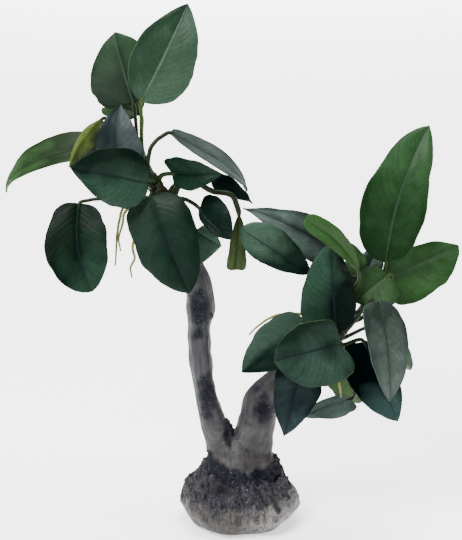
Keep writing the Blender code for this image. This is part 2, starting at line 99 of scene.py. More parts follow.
# Marks on the wood, in millimetres: across, up and depth of the middle, then half the width, depth and height
ROTTEN_SPOTS = ((-20.8, 103.5, -4.0, 5.2, 6.0, 12.5), (-21.5, 92.0, -4.0, 3.5, 5.0, 6.0),
                (-16.2, 61.0, -3.0, 4.6, 5.5, 14.0), (12.0, 54.0, -10.0, 5.8, 5.0, 8.5),
                (7.5, 66.0, -6.0, 3.5, 4.0, 5.0), (-5.2, 45.5, -5.0, 4.2, 6.0, 8.5),
                (-17.0, 78.0, 9.0, 5.0, 5.0, 11.0), (14.0, 60.0, 8.0, 6.0, 5.0, 8.0),
                (-24.0, 126.0, 6.0, 4.0, 5.0, 7.0), (2.0, 36.0, 14.0, 6.0, 5.0, 6.0))
HOLLOWS = ((9.5, 22.5, -14.0, 3.4, 5.0, 3.4), (-6.4, 40.5, -7.5, 1.8, 5.0, 6.0),
           (11.5, 54.0, -10.5, 3.2, 2.4, 4.6))
BOSSES = ((16.0, 27.0, -8.5, 3.2, 5.0, 6.0), (-14.5, 101.0, -1.0, 1.4, 2.0, 2.0),
          (-8.0, 73.0, 6.0, 3.0, 3.0, 4.0), (14.6, 38.0, 2.0, 2.0, 3.0, 3.0))
# The ragged skirt where the wood spreads over the foot: how high it starts and how far it swells
SKIRT_TOP = 33.0
SKIRT_SWELL = 1.4
# How far the wood's skin rises or sinks, in millimetres: its lumps, fibres and fine checks, the rot and its
# pits, the hollows and bosses, and then the crust on its lower end with its lumps and pits
SKIN_LUMP = 0.2
SKIN_FIBRE = 0.08
SKIN_CHECK = 0.2
ROT_SINK = 0.3
ROT_PIT = 0.22
HOLLOW_SINK = 1.8
BOSS_RISE = 1.3
CRUST_RISE = 0.5
CRUST_LUMP = 0.8
CRUST_PIT = 0.3
# The line up to which crust covers the wood's lower end: across, and up as the camera sees it
SEAM = ((-30, 34), (-15, 31), (-12.5, 27.5), (-7, 24.5), (4.5, 20), (7.5, 23.5), (13, 22.5), (15.5, 26),
        (18, 34), (30, 36))
# Crumbs of crust piled against the wood, in millimetres: x, y, z and radius
CRUST = ((-15.5, -3.0, 27.5, 4.0), (-14.0, 6.0, 29.0, 4.6), (-8.0, 13.0, 28.5, 4.5), (2.0, 17.0, 28.0, 4.5),
         (11.0, 14.0, 28.5, 4.2), (17.0, 7.0, 29.0, 4.4), (19.0, -1.0, 27.5, 3.6), (-12.5, -10.5, 25.8, 3.4),
         (-19.0, -2.0, 23.5, 4.0), (20.0, -8.0, 23.5, 3.4))
# More of them, in a half ring behind the wood: how many, and the middle value and the spread of how far out
# they lie, how high and how thick they are, in millimetres
BACK_CRUMBS = 17
CRUMB_OUT = (17.5, 5)
CRUMB_UP = (27, 4)
CRUMB_RADIUS = (2.6, 1.5)
# Spots of painted shade on the crust: across, up and depth of the middle, then half the width, depth and
# height
DAMP_SPOTS = ((-10.5, 16.5, -20.5, 11.0, 10.0, 6.5), (8.0, 22.0, -17.0, 6.0, 6.0, 3.5),
              (-3.0, 11.5, -27.0, 5.0, 6.0, 3.5), (14.0, 20.0, 18.0, 10.0, 9.0, 5.0),
              (-12.0, 24.0, 12.0, 9.0, 9.0, 5.0))
# How far the foot's skin rises, in millimetres: its clumps, splinters and grit, and the knobs of its dark
# part
FOOT_SKIN_CLUMP = 0.5
FOOT_SKIN_SPLINTER = 0.3
FOOT_SKIN_GRIT = 0.25
FOOT_SKIN_KNOB = 0.65
FOOT_VOXEL = 0.5

# Creeping stems: how many rings old leaves left on each stretch, and in millimetres how far the rings stand
# out, how deep the skin lies between them, its lumps and grain, the height that a stalk starts from, the step
# along a stem, and the step between the spots where a stalk can start
RINGS = 3
RING_HEIGHT = 0.35
RING_SINK = 0.1
STEM_LUMP = 0.3
STEM_GRAIN = 0.12
RHIZOME_SCAR = 0.25
RHIZOME_STEP = 0.4
STALK_PLACES = 2.4

# Stalks: in millimetres the radius, the step along a stalk, how much thicker its foot is and how far that
# reaches, and how much thicker a few stalks are. Then how far a stalk leans along the stem at its foot.
STALK_RADIUS = 0.95
STALK_STEP = 1.2
SHEATH = 0.55
SHEATH_REACH = 5
STOUT_STALKS = {"leaf_left_far_drop": 0.5, "leaf_left_arching": 0.15}
STALK_LEAN = math.radians(35)

# The midrib, which runs on from the stalk along the blade: how many steps it has, and in millimetres its
# radius, and how much more it has all along and at the heel
MIDRIB_STEPS = 46
MIDRIB_RADIUS = 0.62
MIDRIB_TIP = 0.08
MIDRIB_HEEL = 0.2

# Blades: the cells and the thickness of the sheet, the powers that round its heel, tip and back lobes, its
# side veins and their streaks, how far it swells between them and sinks along the midrib, and how its margin
# waves. Lengths are in millimetres.
BLADE_COLUMNS = 44
BLADE_ROWS = 64
BLADE_THICKNESS = 0.8
HEEL_ROUND = 0.45
TIP_POINT = 0.85
LOBE_ROUND = 1.3
LOBE_SKEW = 3
VEIN_SPACING = 3.4
VEIN_PAIRS = 11.0
VEIN_STREAKS = 34.0
VEIN_SLOPE = 0.3
VEIN_BEND = 1.3
SWELL = 0.1
CHANNEL = 0.3
CHANNEL_WIDTH = 1.1
WAVE = 1.9
UNEVEN = 0.1
RIPPLE = 1.0

# Finishes of the leaves. main and light are the two tones of the blade, vein its midrib, under its under side
# and stalk its stalk, and rim the tone of its thin margin. The light tone is partly the blade's own mottling
# and partly painted sheen and painted light. gloss is its roughness and sheen how strongly its wax mirrors.
# lean is
# painted light: how much more of the light tone one half has than the other. climb is painted light and shade
# along the blade: how much more the tip has than the heel. shade is painted shade: how much less of it the
# whole blade has.
Finish = namedtuple("Finish", "main light vein under stalk gloss sheen lean climb rim shade")
DARK = Finish(
    main=0x05120a, light=0x102119, vein=0x0a1416, under=0x141e19, stalk=0x0e1906, gloss=0.38, sheen=0.09,
    lean=0.0, climb=0.0, rim=0x111c0f, shade=0.0)
GREEN = DARK._replace(main=0x13260f, light=0x21371d, vein=0x1f3020, under=0x1b2a1a)
# Each of these gives a finish like its own but for what the call says, and left and right do so for a leaf
dark = DARK._replace
young = dark(vein=0x37522c, under=0x27391a, stalk=0x1a280b, gloss=0.4, sheen=0.14)._replace
# grey greys the tones of the leaves that show a grey sheen: painted sheen over their green
grey = dark(vein=0x171f1b, under=0x1d2722, gloss=0.48, rim=0x3c4842)._replace
LEAF_FINISHES = {
    "leaf_left_top_tall": dark(
        main=0x0e2114, light=0x223427, vein=0x37473c, under=0x1f2e22, stalk=0x26380f, gloss=0.42, sheen=0.13,
        lean=0.65, climb=-0.7, rim=0x30452a, shade=0.1),
    "leaf_left_top_back": dark(
        main=0x061409, light=0x152717, vein=0x1b2a20, under=0x1b2a1a, stalk=0x121d08, gloss=0.5, sheen=0.07,
        lean=-0.1, climb=1.5, rim=0x24381c, shade=0.15),
    "leaf_left_back_small": GREEN,
    "leaf_left_upright": dark(
        main=0x10191a, light=0x292f30, vein=0x171f21, under=0x161e1f, stalk=0x2c360e, gloss=0.42, sheen=0.12,
        lean=1.0, climb=0.3),
    "leaf_left_far": dark(
        main=0x0a1a05, light=0x283e24, vein=0x16240f, under=0x24331c, gloss=0.45, climb=2.6, rim=0x2a4118,
        shade=0.3),
    "leaf_left_young": dark(
        main=0x070e04, light=0x3b471a, vein=0x2b3716, under=0x2f3820, stalk=0x1f280a, gloss=0.45, lean=0.8,
        shade=0.1),
    "leaf_left_front": dark(main=0x020e08, light=0x1e3127, sheen=0.06, lean=-0.8, climb=-1.6, shade=0.05),
    "leaf_left_hanging": dark(
        main=0x010c05, light=0x13241a, vein=0x0c1014, sheen=0.045, lean=-0.5, climb=1.9, shade=0.3),
    "leaf_left_front_low": dark(
        main=0x03110a, light=0x122019, vein=0x0c1014, sheen=0.06, lean=0.5, climb=-0.4),
    "leaf_left_arching": grey(main=0x1e2622, light=0x38423d, climb=0.8),
    "leaf_left_short": dark(main=0x021109, light=0x0e2017, sheen=0.06, climb=0.4),
    "leaf_left_inner": dark(main=0x010c08, light=0x081611, sheen=0.055),
    # Painted light: its tones are lighter than its neighbours' to lift it out of the shade of the leaves in
    # front
    "leaf_left_low": dark(main=0x1c3028, light=0x2b3f34, climb=0.3),
    "leaf_left_far_drop": dark(
        main=0x18220f, light=0x2c3a1a, vein=0x1c2715, under=0x222c1a, gloss=0.45, climb=0.4),
    "leaf_left_behind_arch": dark(main=0x010d0b, light=0x081714, sheen=0.035),
    "leaf_right_tall": dark(
        main=0x021a02, light=0x1c331b, vein=0x1f3022, under=0x1b2a1a, stalk=0x15210a, gloss=0.4, sheen=0.1,
        climb=1.5, rim=0x22381c),
    "leaf_right_side": dark(
        main=0x122a0c, light=0x253e22, vein=0x25382a, under=0x1b2a1a, stalk=0x15210a, gloss=0.45,
        rim=0x2c4420),
    "leaf_right_upper_left": dark(
        main=0x060c0b, light=0x33403b, vein=0x0d1513, under=0x1a2320, gloss=0.45, sheen=0.07, climb=1.3,
        shade=0.1),
    "leaf_right_lower_left": dark(
        main=0x02110a, light=0x28392f, sheen=0.04, lean=0.2, climb=2.5, rim=0x1d2c18, shade=0.3),
    "leaf_right_young_long": young(main=0x1a3210, light=0x1f381a, climb=0.4),
    "leaf_right_young_short": young(main=0x1a3012, light=0x2d4a24),
    "leaf_right_young_front": young(
        main=0x11220d, light=0x20361d, vein=0x2c4222, gloss=0.45, sheen=0.09, climb=0.5),
    "leaf_right_dark_centre": dark(
        main=0x010805, light=0x1a2c22, sheen=0.04, lean=-1.1, climb=1.2, shade=0.1),
    "leaf_right_low_left": dark(main=0x020e08, light=0x213028, sheen=0.02, lean=1.2, climb=-0.6, shade=0.1),
    "leaf_right_front_big": dark(
        main=0x08150f, light=0x21312a, sheen=0.05, lean=-0.3, climb=-0.3, rim=0x26341a, shade=0.05),
    "leaf_right_hanging": grey(main=0x151d19, light=0x3b4540, climb=0.9, shade=0.15),
    # Painted shadow: the almost black main tone, the climb and the shade leave the upper part of the blade
    # dark, where the hanging leaf in front shadows it
    "leaf_right_hanging_dark": dark(
        main=0x000405, light=0x1f2e2c, vein=0x070e10, sheen=0.01, climb=3.0, shade=0.35),
    "leaf_right_back_tip": GREEN,
    "leaf_right_low_front": dark(main=0x02080a, light=0x1e2829, vein=0x0f1617, sheen=0.03, climb=0.2),
    # Its pale grey tones are partly its paler under side and partly painted light that lifts it out of the
    # shade it lies in
    "leaf_right_low_small": dark(main=0x3c4b47, light=0x52625b, vein=0x25302c, gloss=0.45),
    "leaf_right_low_green": dark(main=0x182c0f, light=0x2a4220, vein=0x2d4122, under=0x24331c, gloss=0.45),
    "leaf_right_back_up": DARK,
}

# Rhizomes, in millimetres: across, up, depth and radius along the creeping stem
RHIZOMES = {
    "left": ((-31.0, 148.0, -8.5, 3.0), (-36.5, 156.0, -8.5, 4.2), (-41.5, 165.0, -7.5, 4.0),
             (-45.5, 173.0, -6.5, 2.4)),
    "right": ((38.0, 81.0, -11.5, 3.2), (45.5, 89.5, -10.5, 4.4), (51.5, 97.0, -9.0, 4.1),
              (56.0, 104.5, -7.5, 2.6)),
}

# Roots, in millimetres: across, up and depth along each root, down to its tip. Then their radius, the share
# of it that they lose towards the tip, the step along them, and how far and how often they waver
ROOTS = {
    "root_left_long": ((-46.2, 160.5, -4), (-53, 160, -6), (-58, 155.5, -7), (-60.8, 147, -7),
                       (-61.5, 137, -7), (-62.5, 126, -6.5)),
    "root_left_beside": ((-44.6, 156, -7.5), (-51, 157.5, -9), (-56.5, 154, -9.5), (-59.3, 147, -9.5),
                         (-60.2, 139.5, -9), (-59.8, 133.5, -9)),
    "root_left_inner": ((-41.5, 151.5, -7.5), (-48.5, 147, -8), (-53.5, 138, -9), (-53, 130, -9),
                        (-54.5, 124.5, -9), (-54, 120, -9)),
    "root_right_long": ((40, 92.5, -8), (35.5, 100.5, -8), (24.5, 102, -9), (16, 100.5, -10),
                        (9.5, 96.5, -10), (4.5, 91.5, -10)),
    "root_right_short": ((48.5, 83, -15.5), (49.5, 75, -18.5), (49.5, 66.5, -19.5), (50.5, 60.5, -19.5)),
}
ROOT_RADIUS = 0.8
ROOT_TAPER = 0.5
ROOT_STEP = 0.8
ROOT_WAVER = 0.7
ROOT_WAVER_SIZE = 6

# Leaves. A stalk leaves its plant's rhizome at foot, a share of the rhizome's length, and runs through any
# points in via to the heel of the blade, and the blade runs from there to the tip. heel, tip and via are
# across, up and depth. facing is the way the upper side looks. rise and droop are the midrib's angles, in
# degrees, to the straight line from heel to tip, and sway bows the midrib sideways, as a share of that line.
# fold and cup lift the two halves, skew makes one half wider than the other, base and blunt draw the width
# in towards the heel and the tip, and lobe is how far the halves reach back past the heel, as such a share.
Leaf = namedtuple(
    "Leaf", "plant foot via heel tip width facing rise droop fold cup sway skew base blunt lobe")
left = Leaf(
    plant="left", foot=0.5, via=(), heel=None, tip=None, width=None, facing=(0, -1, 0.3), rise=15,
    droop=20, fold=0.15, cup=-0.05, sway=0.0, skew=0.0, base=1.0, blunt=1.0, lobe=0.1)._replace
right = left(plant="right")._replace
LEAVES = {
    "leaf_left_top_tall": left(
        foot=0.97, via=((-48.3, 178, -2), (-49.2, 190, 2), (-49.4, 203, 3)), heel=(-49.5, 208.5, 4),
        tip=(-26.3, 257, 12), width=33, facing=(-0.2, -1, 0.1), rise=8, droop=12, sway=0.02, skew=0.07,
        base=1.3, lobe=0.0),
    "leaf_left_top_back": left(
        foot=0.74, via=((-50.8, 183, 8), (-51.8, 194, 10)), heel=(-53.5, 207.5, 9), tip=(-62.5, 243, 38),
        width=36, facing=(-0.2, -1, 0.3), rise=10, droop=25, blunt=1.2, lobe=0.06),
    "leaf_left_back_small": left(
        foot=0.86, via=((-48.4, 183, 4.5), (-49.2, 193, 8), (-48.9, 199.5, 15)), heel=(-50.5, 202, 19),
        tip=(-68.5, 205, 38), width=20, facing=(0, -0.6, 1), lobe=0.04),
    "leaf_left_upright": left(
        foot=0.88, heel=(-60, 176.5, -5), tip=(-59.5, 206.5, 4), width=23, facing=(-0.1, -1, 0.5), droop=35,
        sway=-0.06, skew=0.12, blunt=1.25),
    "leaf_left_far": left(
        foot=0.5, via=((-55, 177, 8),), heel=(-71, 185, 18), tip=(-117, 163, 22), width=22,
        facing=(-0.1, -0.5, 1), rise=37, droop=58, skew=0.12),
    "leaf_left_young": left(
        foot=0.7, via=((-56, 184, 3),), heel=(-69.5, 199, 11.5), tip=(-85.5, 175.5, -1), width=15,
        facing=(-0.3, -0.8, 0.6), fold=0.3, skew=-0.55, base=1.2, lobe=0.0),
    "leaf_left_front": left(
        foot=0.75, heel=(-46, 167, -14), tip=(-84.5, 175, -38), width=30, facing=(-0.2, -1, 0.45), rise=10,
        base=1.3, lobe=0.04),
    "leaf_left_hanging": left(
        foot=0.45, via=((-57.5, 158.5, -12), (-70, 159.5, -11), (-76, 158.8, -11.5)), heel=(-80.5, 157, -13),
        tip=(-74, 113.5, -28), width=31.5, facing=(-0.15, -1, 0.15), rise=12, droop=15, sway=0.075,
        blunt=0.66),
    "leaf_left_front_low": left(
        foot=0.55, heel=(-45, 160.5, -15), tip=(-25.5, 112.5, -29), width=33, facing=(-0.1, -1, 0.3),
        rise=20, droop=10, lobe=0.07, blunt=0.82),
    "leaf_left_arching": left(
        foot=0.85, via=((-46, 174, -10.5), (-45, 184, -8), (-42.5, 188, -7), (-39.5, 190.5, -6)),
        heel=(-34.5, 192.5, -4), tip=(3.5, 163.5, 10), width=24, facing=(0.5, -0.22, 1), rise=4, droop=26,
        lobe=0.14, base=1.6),
    "leaf_left_short": left(
        foot=0.8, heel=(-33.5, 172, -13), tip=(-9.5, 172, -26), width=17, facing=(0, -1, 0), fold=0.45,
        skew=-0.2, lobe=0.12),
    "leaf_left_inner": left(
        foot=0.3, heel=(-20, 154.5, -10), tip=(-5, 139.5, -22), width=15.5, facing=(-0.2, -1, 0.1),
        skew=-0.48, blunt=0.75),
    "leaf_left_low": left(
        foot=0.2, heel=(-21.5, 143.5, -6), tip=(-9.5, 136, -10), width=24, facing=(0, -1, 0.1), skew=0.55,
        lobe=0.0),
    "leaf_left_far_drop": left(
        foot=0.4, via=((-27, 169.5, -8), (-14, 163.5, -9), (-4.5, 161.5, -9), (-1.5, 156, -8)),
        heel=(-0.5, 151, -8), tip=(-2.3, 124.3, -6), width=9.6, facing=(0.3, -1, 0), rise=5, droop=5,
        base=1.1, blunt=0.12, lobe=0.0),
    "leaf_left_behind_arch": left(
        foot=0.5, heel=(-14, 169, 8), tip=(6.5, 157.3, 20), width=11, facing=(0.2, -0.8, 0.6), blunt=1.6,
        lobe=0.03),
    "leaf_right_tall": right(
        foot=0.9, heel=(73, 128, 2), tip=(94.5, 196, 16), width=32, facing=(-0.15, -1, 0.25), rise=8,
        sway=-0.045, skew=-0.08, base=0.95, blunt=0.85, lobe=0.0),
    "leaf_right_side": right(
        foot=0.8, heel=(73, 119.5, 10), tip=(109.5, 136, 34), width=26.5, facing=(0.1, -0.9, 0.45), rise=12,
        skew=0.28, lobe=0.1),
    "leaf_right_upper_left": right(
        foot=0.85, heel=(51, 131.5, 13), tip=(1.5, 155, 20), width=25.3, facing=(-0.2, -0.6, 0.9), rise=9,
        skew=-0.09, base=1.05, blunt=1.5),
    "leaf_right_lower_left": right(
        foot=0.7, heel=(35.5, 122, -6), tip=(0.5, 144.5, -14), width=18.5, facing=(-0.4, -0.8, 0.5),
        droop=25, skew=0.08, base=2.0, blunt=0.6, lobe=0.0),
    "leaf_right_young_long": right(
        foot=0.98, heel=(59.5, 123, -12), tip=(32.5, 149, -19), width=10.5, facing=(-0.3, -0.7, 0.7),
        fold=0.35, sway=0.065, base=1.5, blunt=0.3, lobe=0.0),
    "leaf_right_young_short": right(
        foot=0.97, heel=(60, 121.5, 2), tip=(54.5, 138, 3), width=11, facing=(0, -1, 0.3), fold=0.4,
        lobe=0.0),
    "leaf_right_young_front": right(
        foot=0.85, heel=(74, 121, -3), tip=(57.5, 108, -9), width=23, facing=(-0.1, -1, 0.5), rise=10,
        skew=-0.15),
    "leaf_right_dark_centre": right(
        foot=0.6, heel=(48, 94.5, -17), tip=(45.5, 138, -4.5), width=27.5, facing=(-0.1, -1, 0.1), rise=13,
        skew=-0.2),
    "leaf_right_low_left": right(
        foot=0.5, heel=(34, 95.5, -12.5), tip=(1, 73, -24), width=26, facing=(-0.3, -0.9, 0.5)),
    "leaf_right_front_big": right(
        foot=0.4, heel=(50, 87, -24), tip=(17.5, 78.5, -42), width=33, facing=(-0.2, -1, 0.35), skew=-0.12,
        blunt=0.66, lobe=0.31),
    "leaf_right_hanging": right(
        foot=0.65, heel=(68.5, 107.5, -20), tip=(75, 58.5, -32), width=22.5, facing=(0.4, -0.9, 0.3),
        rise=30),
    "leaf_right_hanging_dark": right(
        foot=0.35, heel=(62, 88, -10), tip=(79, 48.5, -18), width=25.5, facing=(0.1, -1, 0.1), skew=0.22),
    "leaf_right_back_tip": right(
        foot=0.45, heel=(70, 94, 8), tip=(85.5, 74, 24), width=12, facing=(0.3, -0.8, 0.5)),
    "leaf_right_low_front": right(
        foot=0.2, heel=(31, 75, -21), tip=(22, 41, -31), width=24, facing=(0, -1, 0.2), base=0.8,
        blunt=1.15),
    "leaf_right_low_small": right(
        foot=0.1, via=((50, 73, -15), (57, 65, -13)), heel=(55, 59.3, -9), tip=(32, 50.8, -12), width=13.5,
        facing=(0, -0.6, 0.9), skew=-0.33),
    "leaf_right_low_green": right(
        foot=0.25, heel=(52, 80, 3), tip=(60, 57.5, 13), width=25, facing=(0, -1, 0.2)),
    "leaf_right_back_up": right(
        foot=0.75, heel=(57, 112, 15), tip=(70, 137, 38), width=15, facing=(0, -1, 0.3)),
}


def curve_point(a, b, way_a, way_b, s):
    """The point at a share s of a smooth curve from a, going way_a, to b, going way_b, and its way there."""
    reach = (b - a).length
    spot = a + (b - a) * (3 * s**2 - 2 * s**3)
    spot = spot + reach * (way_a * (s**3 - 2 * s**2 + s) + way_b * (s**3 - s**2))
    way = (b - a) * (6 * s - 6 * s**2)
    way = way + reach * (way_a * (3 * s**2 - 4 * s + 1) + way_b * (3 * s**2 - 2 * s))
    return spot, way.normalized()


def smooth_path(points, step, first_way=None, last_way=None):
    """Spots about a step apart on a smooth curve through points, each with its way and place in points."""
    last = len(points) - 1
    ways = [(points[min(i + 1, last)] - points[max(i - 1, 0)]).normalized() for i in range(last + 1)]
    ways[0] = first_way or ways[0]
    ways[-1] = last_way or ways[-1]
    path = []
    for i in range(last):
        count = max(1, round((points[i + 1] - points[i]).length / step))
        for k in range(count):
            path.append((*curve_point(*points[i:i + 2], *ways[i:i + 2], k / count), i + k / count))
    path.append((points[-1].copy(), ways[-1], float(last)))
    return path


def between(values, position):
    """The value at a place between the listed ones."""
    i = min(int(position), len(values) - 2)
    return values[i] + (values[i + 1] - values[i]) * (position - i)


def across_way(way, side):
    """side, turned as little as needed to stand square to way."""
    return (side - side.dot(way) * way).normalized()


def soft_step(low, high, value):
    """From 0 at low to 1 at high, smoothly."""
    share = np.clip((value - low) / (high - low), 0, 1)
    return share * share * (3 - 2 * share)


# Working with Blender's tools

def select_only(*objects):
    bpy.ops.object.select_all(action="DESELECT")
    for obj in objects:
        obj.select_set(True)
    bpy.context.view_layer.objects.active = objects[0]


def apply_modifier(obj, kind, **settings):
    """Adds one modifier and applies it."""
    select_only(obj)
    modifier = obj.modifiers.new(kind.lower(), kind)
    for name, value in settings.items():
        setattr(modifier, name, value)
    bpy.ops.object.modifier_apply(modifier=modifier.name)


def merge_close(obj, distance):
    """Welds the points that lie within the distance."""
    select_only(obj)
    bpy.ops.object.mode_set(mode="EDIT")
    bpy.ops.mesh.select_all(action="SELECT")
    bpy.ops.mesh.remove_doubles(threshold=distance)
    bpy.ops.object.mode_set(mode="OBJECT")


def join(name, objects):
    select_only(*objects)
    bpy.ops.object.join()
    objects[0].name = name
    objects[0].data.name = name
    return objects[0]


def tube(name, spots, radii, sides):
    """A closed tube through the spots, as thick as the radii say."""
    bpy.ops.object.select_all(action="DESELECT")
    bpy.ops.curve.primitive_bezier_curve_add()
    obj = bpy.context.object
    obj.name = name
    curve = obj.data
    curve.splines.clear()
    line = curve.splines.new("POLY")
    line.points.add(len(spots) - 1)
    for point, spot, radius in zip(line.points, spots, radii):
        point.co = (*spot, 1)
        point.radius = radius
    curve.dimensions = "3D"
    curve.fill_mode = "FULL"
    curve.bevel_depth = 1
    curve.bevel_resolution = sides // 2 - 2
    curve.use_fill_caps = True
    bpy.ops.object.convert(target="MESH")
    obj = bpy.context.object
    merge_close(obj, 0.001 * MM)
    return obj


def vertex_array(mesh, what="co"):
    values = np.empty(len(mesh.vertices) * 3)
    mesh.vertices.foreach_get(what, values)
    return values.reshape(-1, 3)


def put_vertices(mesh, points):
    mesh.vertices.foreach_set("co", np.asarray(points).ravel())
    mesh.update()


def noise_at(points, size, offset=0.0):
    """Smooth noise from about -1 to 1 at each point, with lumps of that size in millimetres. The offset only
    keeps one noise from being like another."""
    shift = Vector((offset, -offset, 2 * offset))
    return np.array([2 * noise.noise(Vector(point) / (size * MM) + shift) for point in points])


def store(mesh, **layers):
    """Keeps a number for each point under each name, for the finish to read."""
    for name, values in layers.items():
        mesh.attributes.new(name, "FLOAT", "POINT").data.foreach_set("value", values)


def dress(piece, slot_name, materials, *nodes):
    """Gives a piece its materials, and puts it in the place of its solids."""
    piece.data.materials.clear()
    for material in materials:
        piece.data.materials.append(material)
    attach(piece, "root")
    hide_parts(*nodes)


# Finishes. Sizes of patterns are in real millimetres.

def linear(byte):
    """One channel of a screen colour as the light it stands for."""
    value = byte / 255
    return value / 12.92 if value <= 0.04045 else ((value + 0.055) / 1.055) ** 2.4


def colour(number):
    """A screen colour such as 0x77716c as linear red, green, blue and alpha."""
    return [*(linear(byte) for byte in number.to_bytes(3, "big")), 1]


# Settings that many nodes share: a mix of two colours, a colour laid over another like a stain, a times b
# plus c, and a change that starts and ends softly
BLEND = {"data_type": "RGBA"}
STAIN = {"data_type": "RGBA", "blend_type": "MULTIPLY"}
TIMES_PLUS = {"operation": "MULTIPLY_ADD"}
SOFTLY = {"interpolation_type": "SMOOTHSTEP"}


def feed(node, inputs):
    """Gives each listed input of a node its value, or links it to the node or the socket that feeds it.

    Inputs go by name or number. A mix of colours has its share at 0 and its colours at 6 and 7. A map range
    has its value at 0, the limits it comes in at 1 and 2, and the ones it is brought to at 3 and 4."""
    for key, value in inputs.items():
        if isinstance(value, bpy.types.Node):
            value = value.outputs[2 if value.type == "MIX" else 0]
        if isinstance(value, bpy.types.NodeSocket):
            node.id_data.links.new(value, node.inputs[key])
        else:
            node.inputs[key].default_value = value


def add_node(tree, kind, inputs=None, settings=None):
    """Adds a node of that kind with its settings and links."""
    node = tree.nodes.new("ShaderNode" + kind)
    for name, value in (settings or {}).items():
        setattr(node, name, value)
    feed(node, inputs or {})
    return node


def per_mm(size):
    """The noise scale, on coordinates in metres, that gives features of that many millimetres."""
    return 1000 / size


def new_material(name):
    """A new material, its main shader, and what adds nodes to it."""
    material = bpy.data.materials.new(name)
    material.use_nodes = True
    tree = material.node_tree
    return material, tree.nodes["Principled BSDF"], partial(add_node, tree)


def blade_sockets(add):
    """Sockets for a place on a blade: how far to one side, from -1 to 1, how far out from the midrib, how far
    along the midrib, and how far along where the side vein through the place leaves the midrib."""
    uv = add("UVMap", {}, {"uv_map": "UVMap"})
    split = add("SeparateXYZ", {0: uv})
    side = add("Math", {0: split.outputs[0], 1: 2.0, 2: -1.0}, TIMES_PLUS)
    out = add("Math", {0: side}, {"operation": "ABSOLUTE"})
    bend = add("Math", {0: out, 1: VEIN_BEND}, {"operation": "POWER"})
    vein_start = add("Math", {0: bend, 1: -VEIN_SLOPE, 2: split.outputs[1]}, TIMES_PLUS)
    return side, out, split.outputs[1], vein_start


def leaf_upper(name, finish):
    """Living anubias leaf, upper side: thick, leathery and waxed, so it takes soft, broad lights, here partly
    painted into its colour as sheen, light and shade, and it shows fine streaks that follow its side veins
    from the midrib out to the margin."""
    material, shader, add = new_material(name)
    side, out, along, vein_start = blade_sockets(add)
    phase = add("Math", {0: vein_start, 1: VEIN_STREAKS}, {"operation": "MULTIPLY"})
    place_on = add("TexCoord").outputs["Object"]
    cloud = add("TexNoise", {"Vector": place_on, "Scale": per_mm(13), "Detail": 2.0})
    streak_at = add("CombineXYZ", {0: phase, 1: side})
    streak = add("TexNoise", {"Vector": streak_at, "Scale": 1.0, "Detail": 3.0, "Roughness": 0.6})
    # Real pores are far too fine to show in the render, so the flecks are as coarse as it needs
    fleck = add("TexNoise", {"Vector": place_on, "Scale": per_mm(1.6), "Detail": 3.0})
    # The share of the light tone: the cloud is the blade's own mottling, and on it go painted sheen towards
    # the middle of each half, painted light on one half and towards one end, and painted shade over the whole
    # blade
    share = add("MapRange", {0: cloud, 1: 0.3, 2: 0.7, 3: -0.05, 4: 0.55}, {"clamp": False})
    inner = add("Math", {0: 1.0, 1: out}, {"operation": "SUBTRACT"})
    bloom = add("Math", {0: out, 1: inner}, {"operation": "MULTIPLY"})
    for where, amount in ((bloom, 1.4), (side, finish.lean), (along, finish.climb)):
        share = add("Math", {0: where, 1: amount, 2: share}, TIMES_PLUS)
    share = add("Math", {0: share, 1: 0.5 * finish.climb + finish.shade},
                {"operation": "SUBTRACT", "use_clamp": True})
    base = add("Mix", {0: share, 6: colour(finish.main), 7: colour(finish.light)}, BLEND)
    midrib = add("MapRange", {0: out, 1: 0.01, 2: 0.07, 3: 0.8, 4: 0.0}, SOFTLY)
    rim = add("MapRange", {0: out, 1: 0.95, 2: 1.0, 3: 0.0, 4: 0.7}, SOFTLY)
    for where, over in ((midrib, finish.vein), (rim, finish.rim)):
        base = add("Mix", {0: where, 6: base, 7: colour(over)}, BLEND)
    streaks = add("MapRange", {0: streak, 1: 0.3, 2: 0.7, 3: 0.8, 4: 1.2})
    flecks = add("MapRange", {0: fleck, 1: 0.3, 2: 0.7, 3: 0.88, 4: 1.12})
    both = add("Math", {0: streaks, 1: flecks}, {"operation": "MULTIPLY"})
    tone = add("VectorMath", {0: base, "Scale": both}, {"operation": "SCALE"})
    rough = add("MapRange", {0: fleck, 1: 0.3, 2: 0.7, 3: finish.gloss - 0.04, 4: finish.gloss + 0.06})
    raised = add("Math", {0: fleck, 1: 0.4, 2: streak}, TIMES_PLUS)
    bump = add("Bump", {"Strength": 0.35, "Distance": 0.3 * MM, "Height": raised})
    feed(shader, {"Base Color": tone, "Roughness": rough, "Normal": bump, "IOR": 1.4,
                  "Specular IOR Level": finish.sheen})
    return material


def leaf_under(name, main, vein):
    """Living anubias leaf, under side: duller and greyer than the upper side, with its ribs standing out."""
    material, shader, add = new_material(name)
    vein_start = blade_sockets(add)[-1]
    phase = add("Math", {0: vein_start, 1: VEIN_PAIRS}, {"operation": "MULTIPLY"})
    saw = add("Math", {0: phase, 1: 0.5}, {"operation": "PINGPONG"})
    line = add("MapRange", {0: saw, 1: 0.0, 2: 0.2, 3: 0.6, 4: 0.0}, SOFTLY)
    place_on = add("TexCoord").outputs["Object"]
    fleck = add("TexNoise", {"Vector": place_on, "Scale": per_mm(2.5), "Detail": 3.0})
    flecks = add("MapRange", {0: fleck, 1: 0.3, 2: 0.7, 3: 0.85, 4: 1.15})
    base = add("Mix", {0: line, 6: colour(main), 7: colour(vein)}, BLEND)
    tone = add("VectorMath", {0: base, "Scale": flecks}, {"operation": "SCALE"})
    bump = add("Bump", {"Strength": 0.4, "Distance": 0.15 * MM, "Height": line})
    feed(shader, {"Base Color": tone, "Roughness": 0.5, "Normal": bump, "Specular IOR Level": 0.15})
    return material


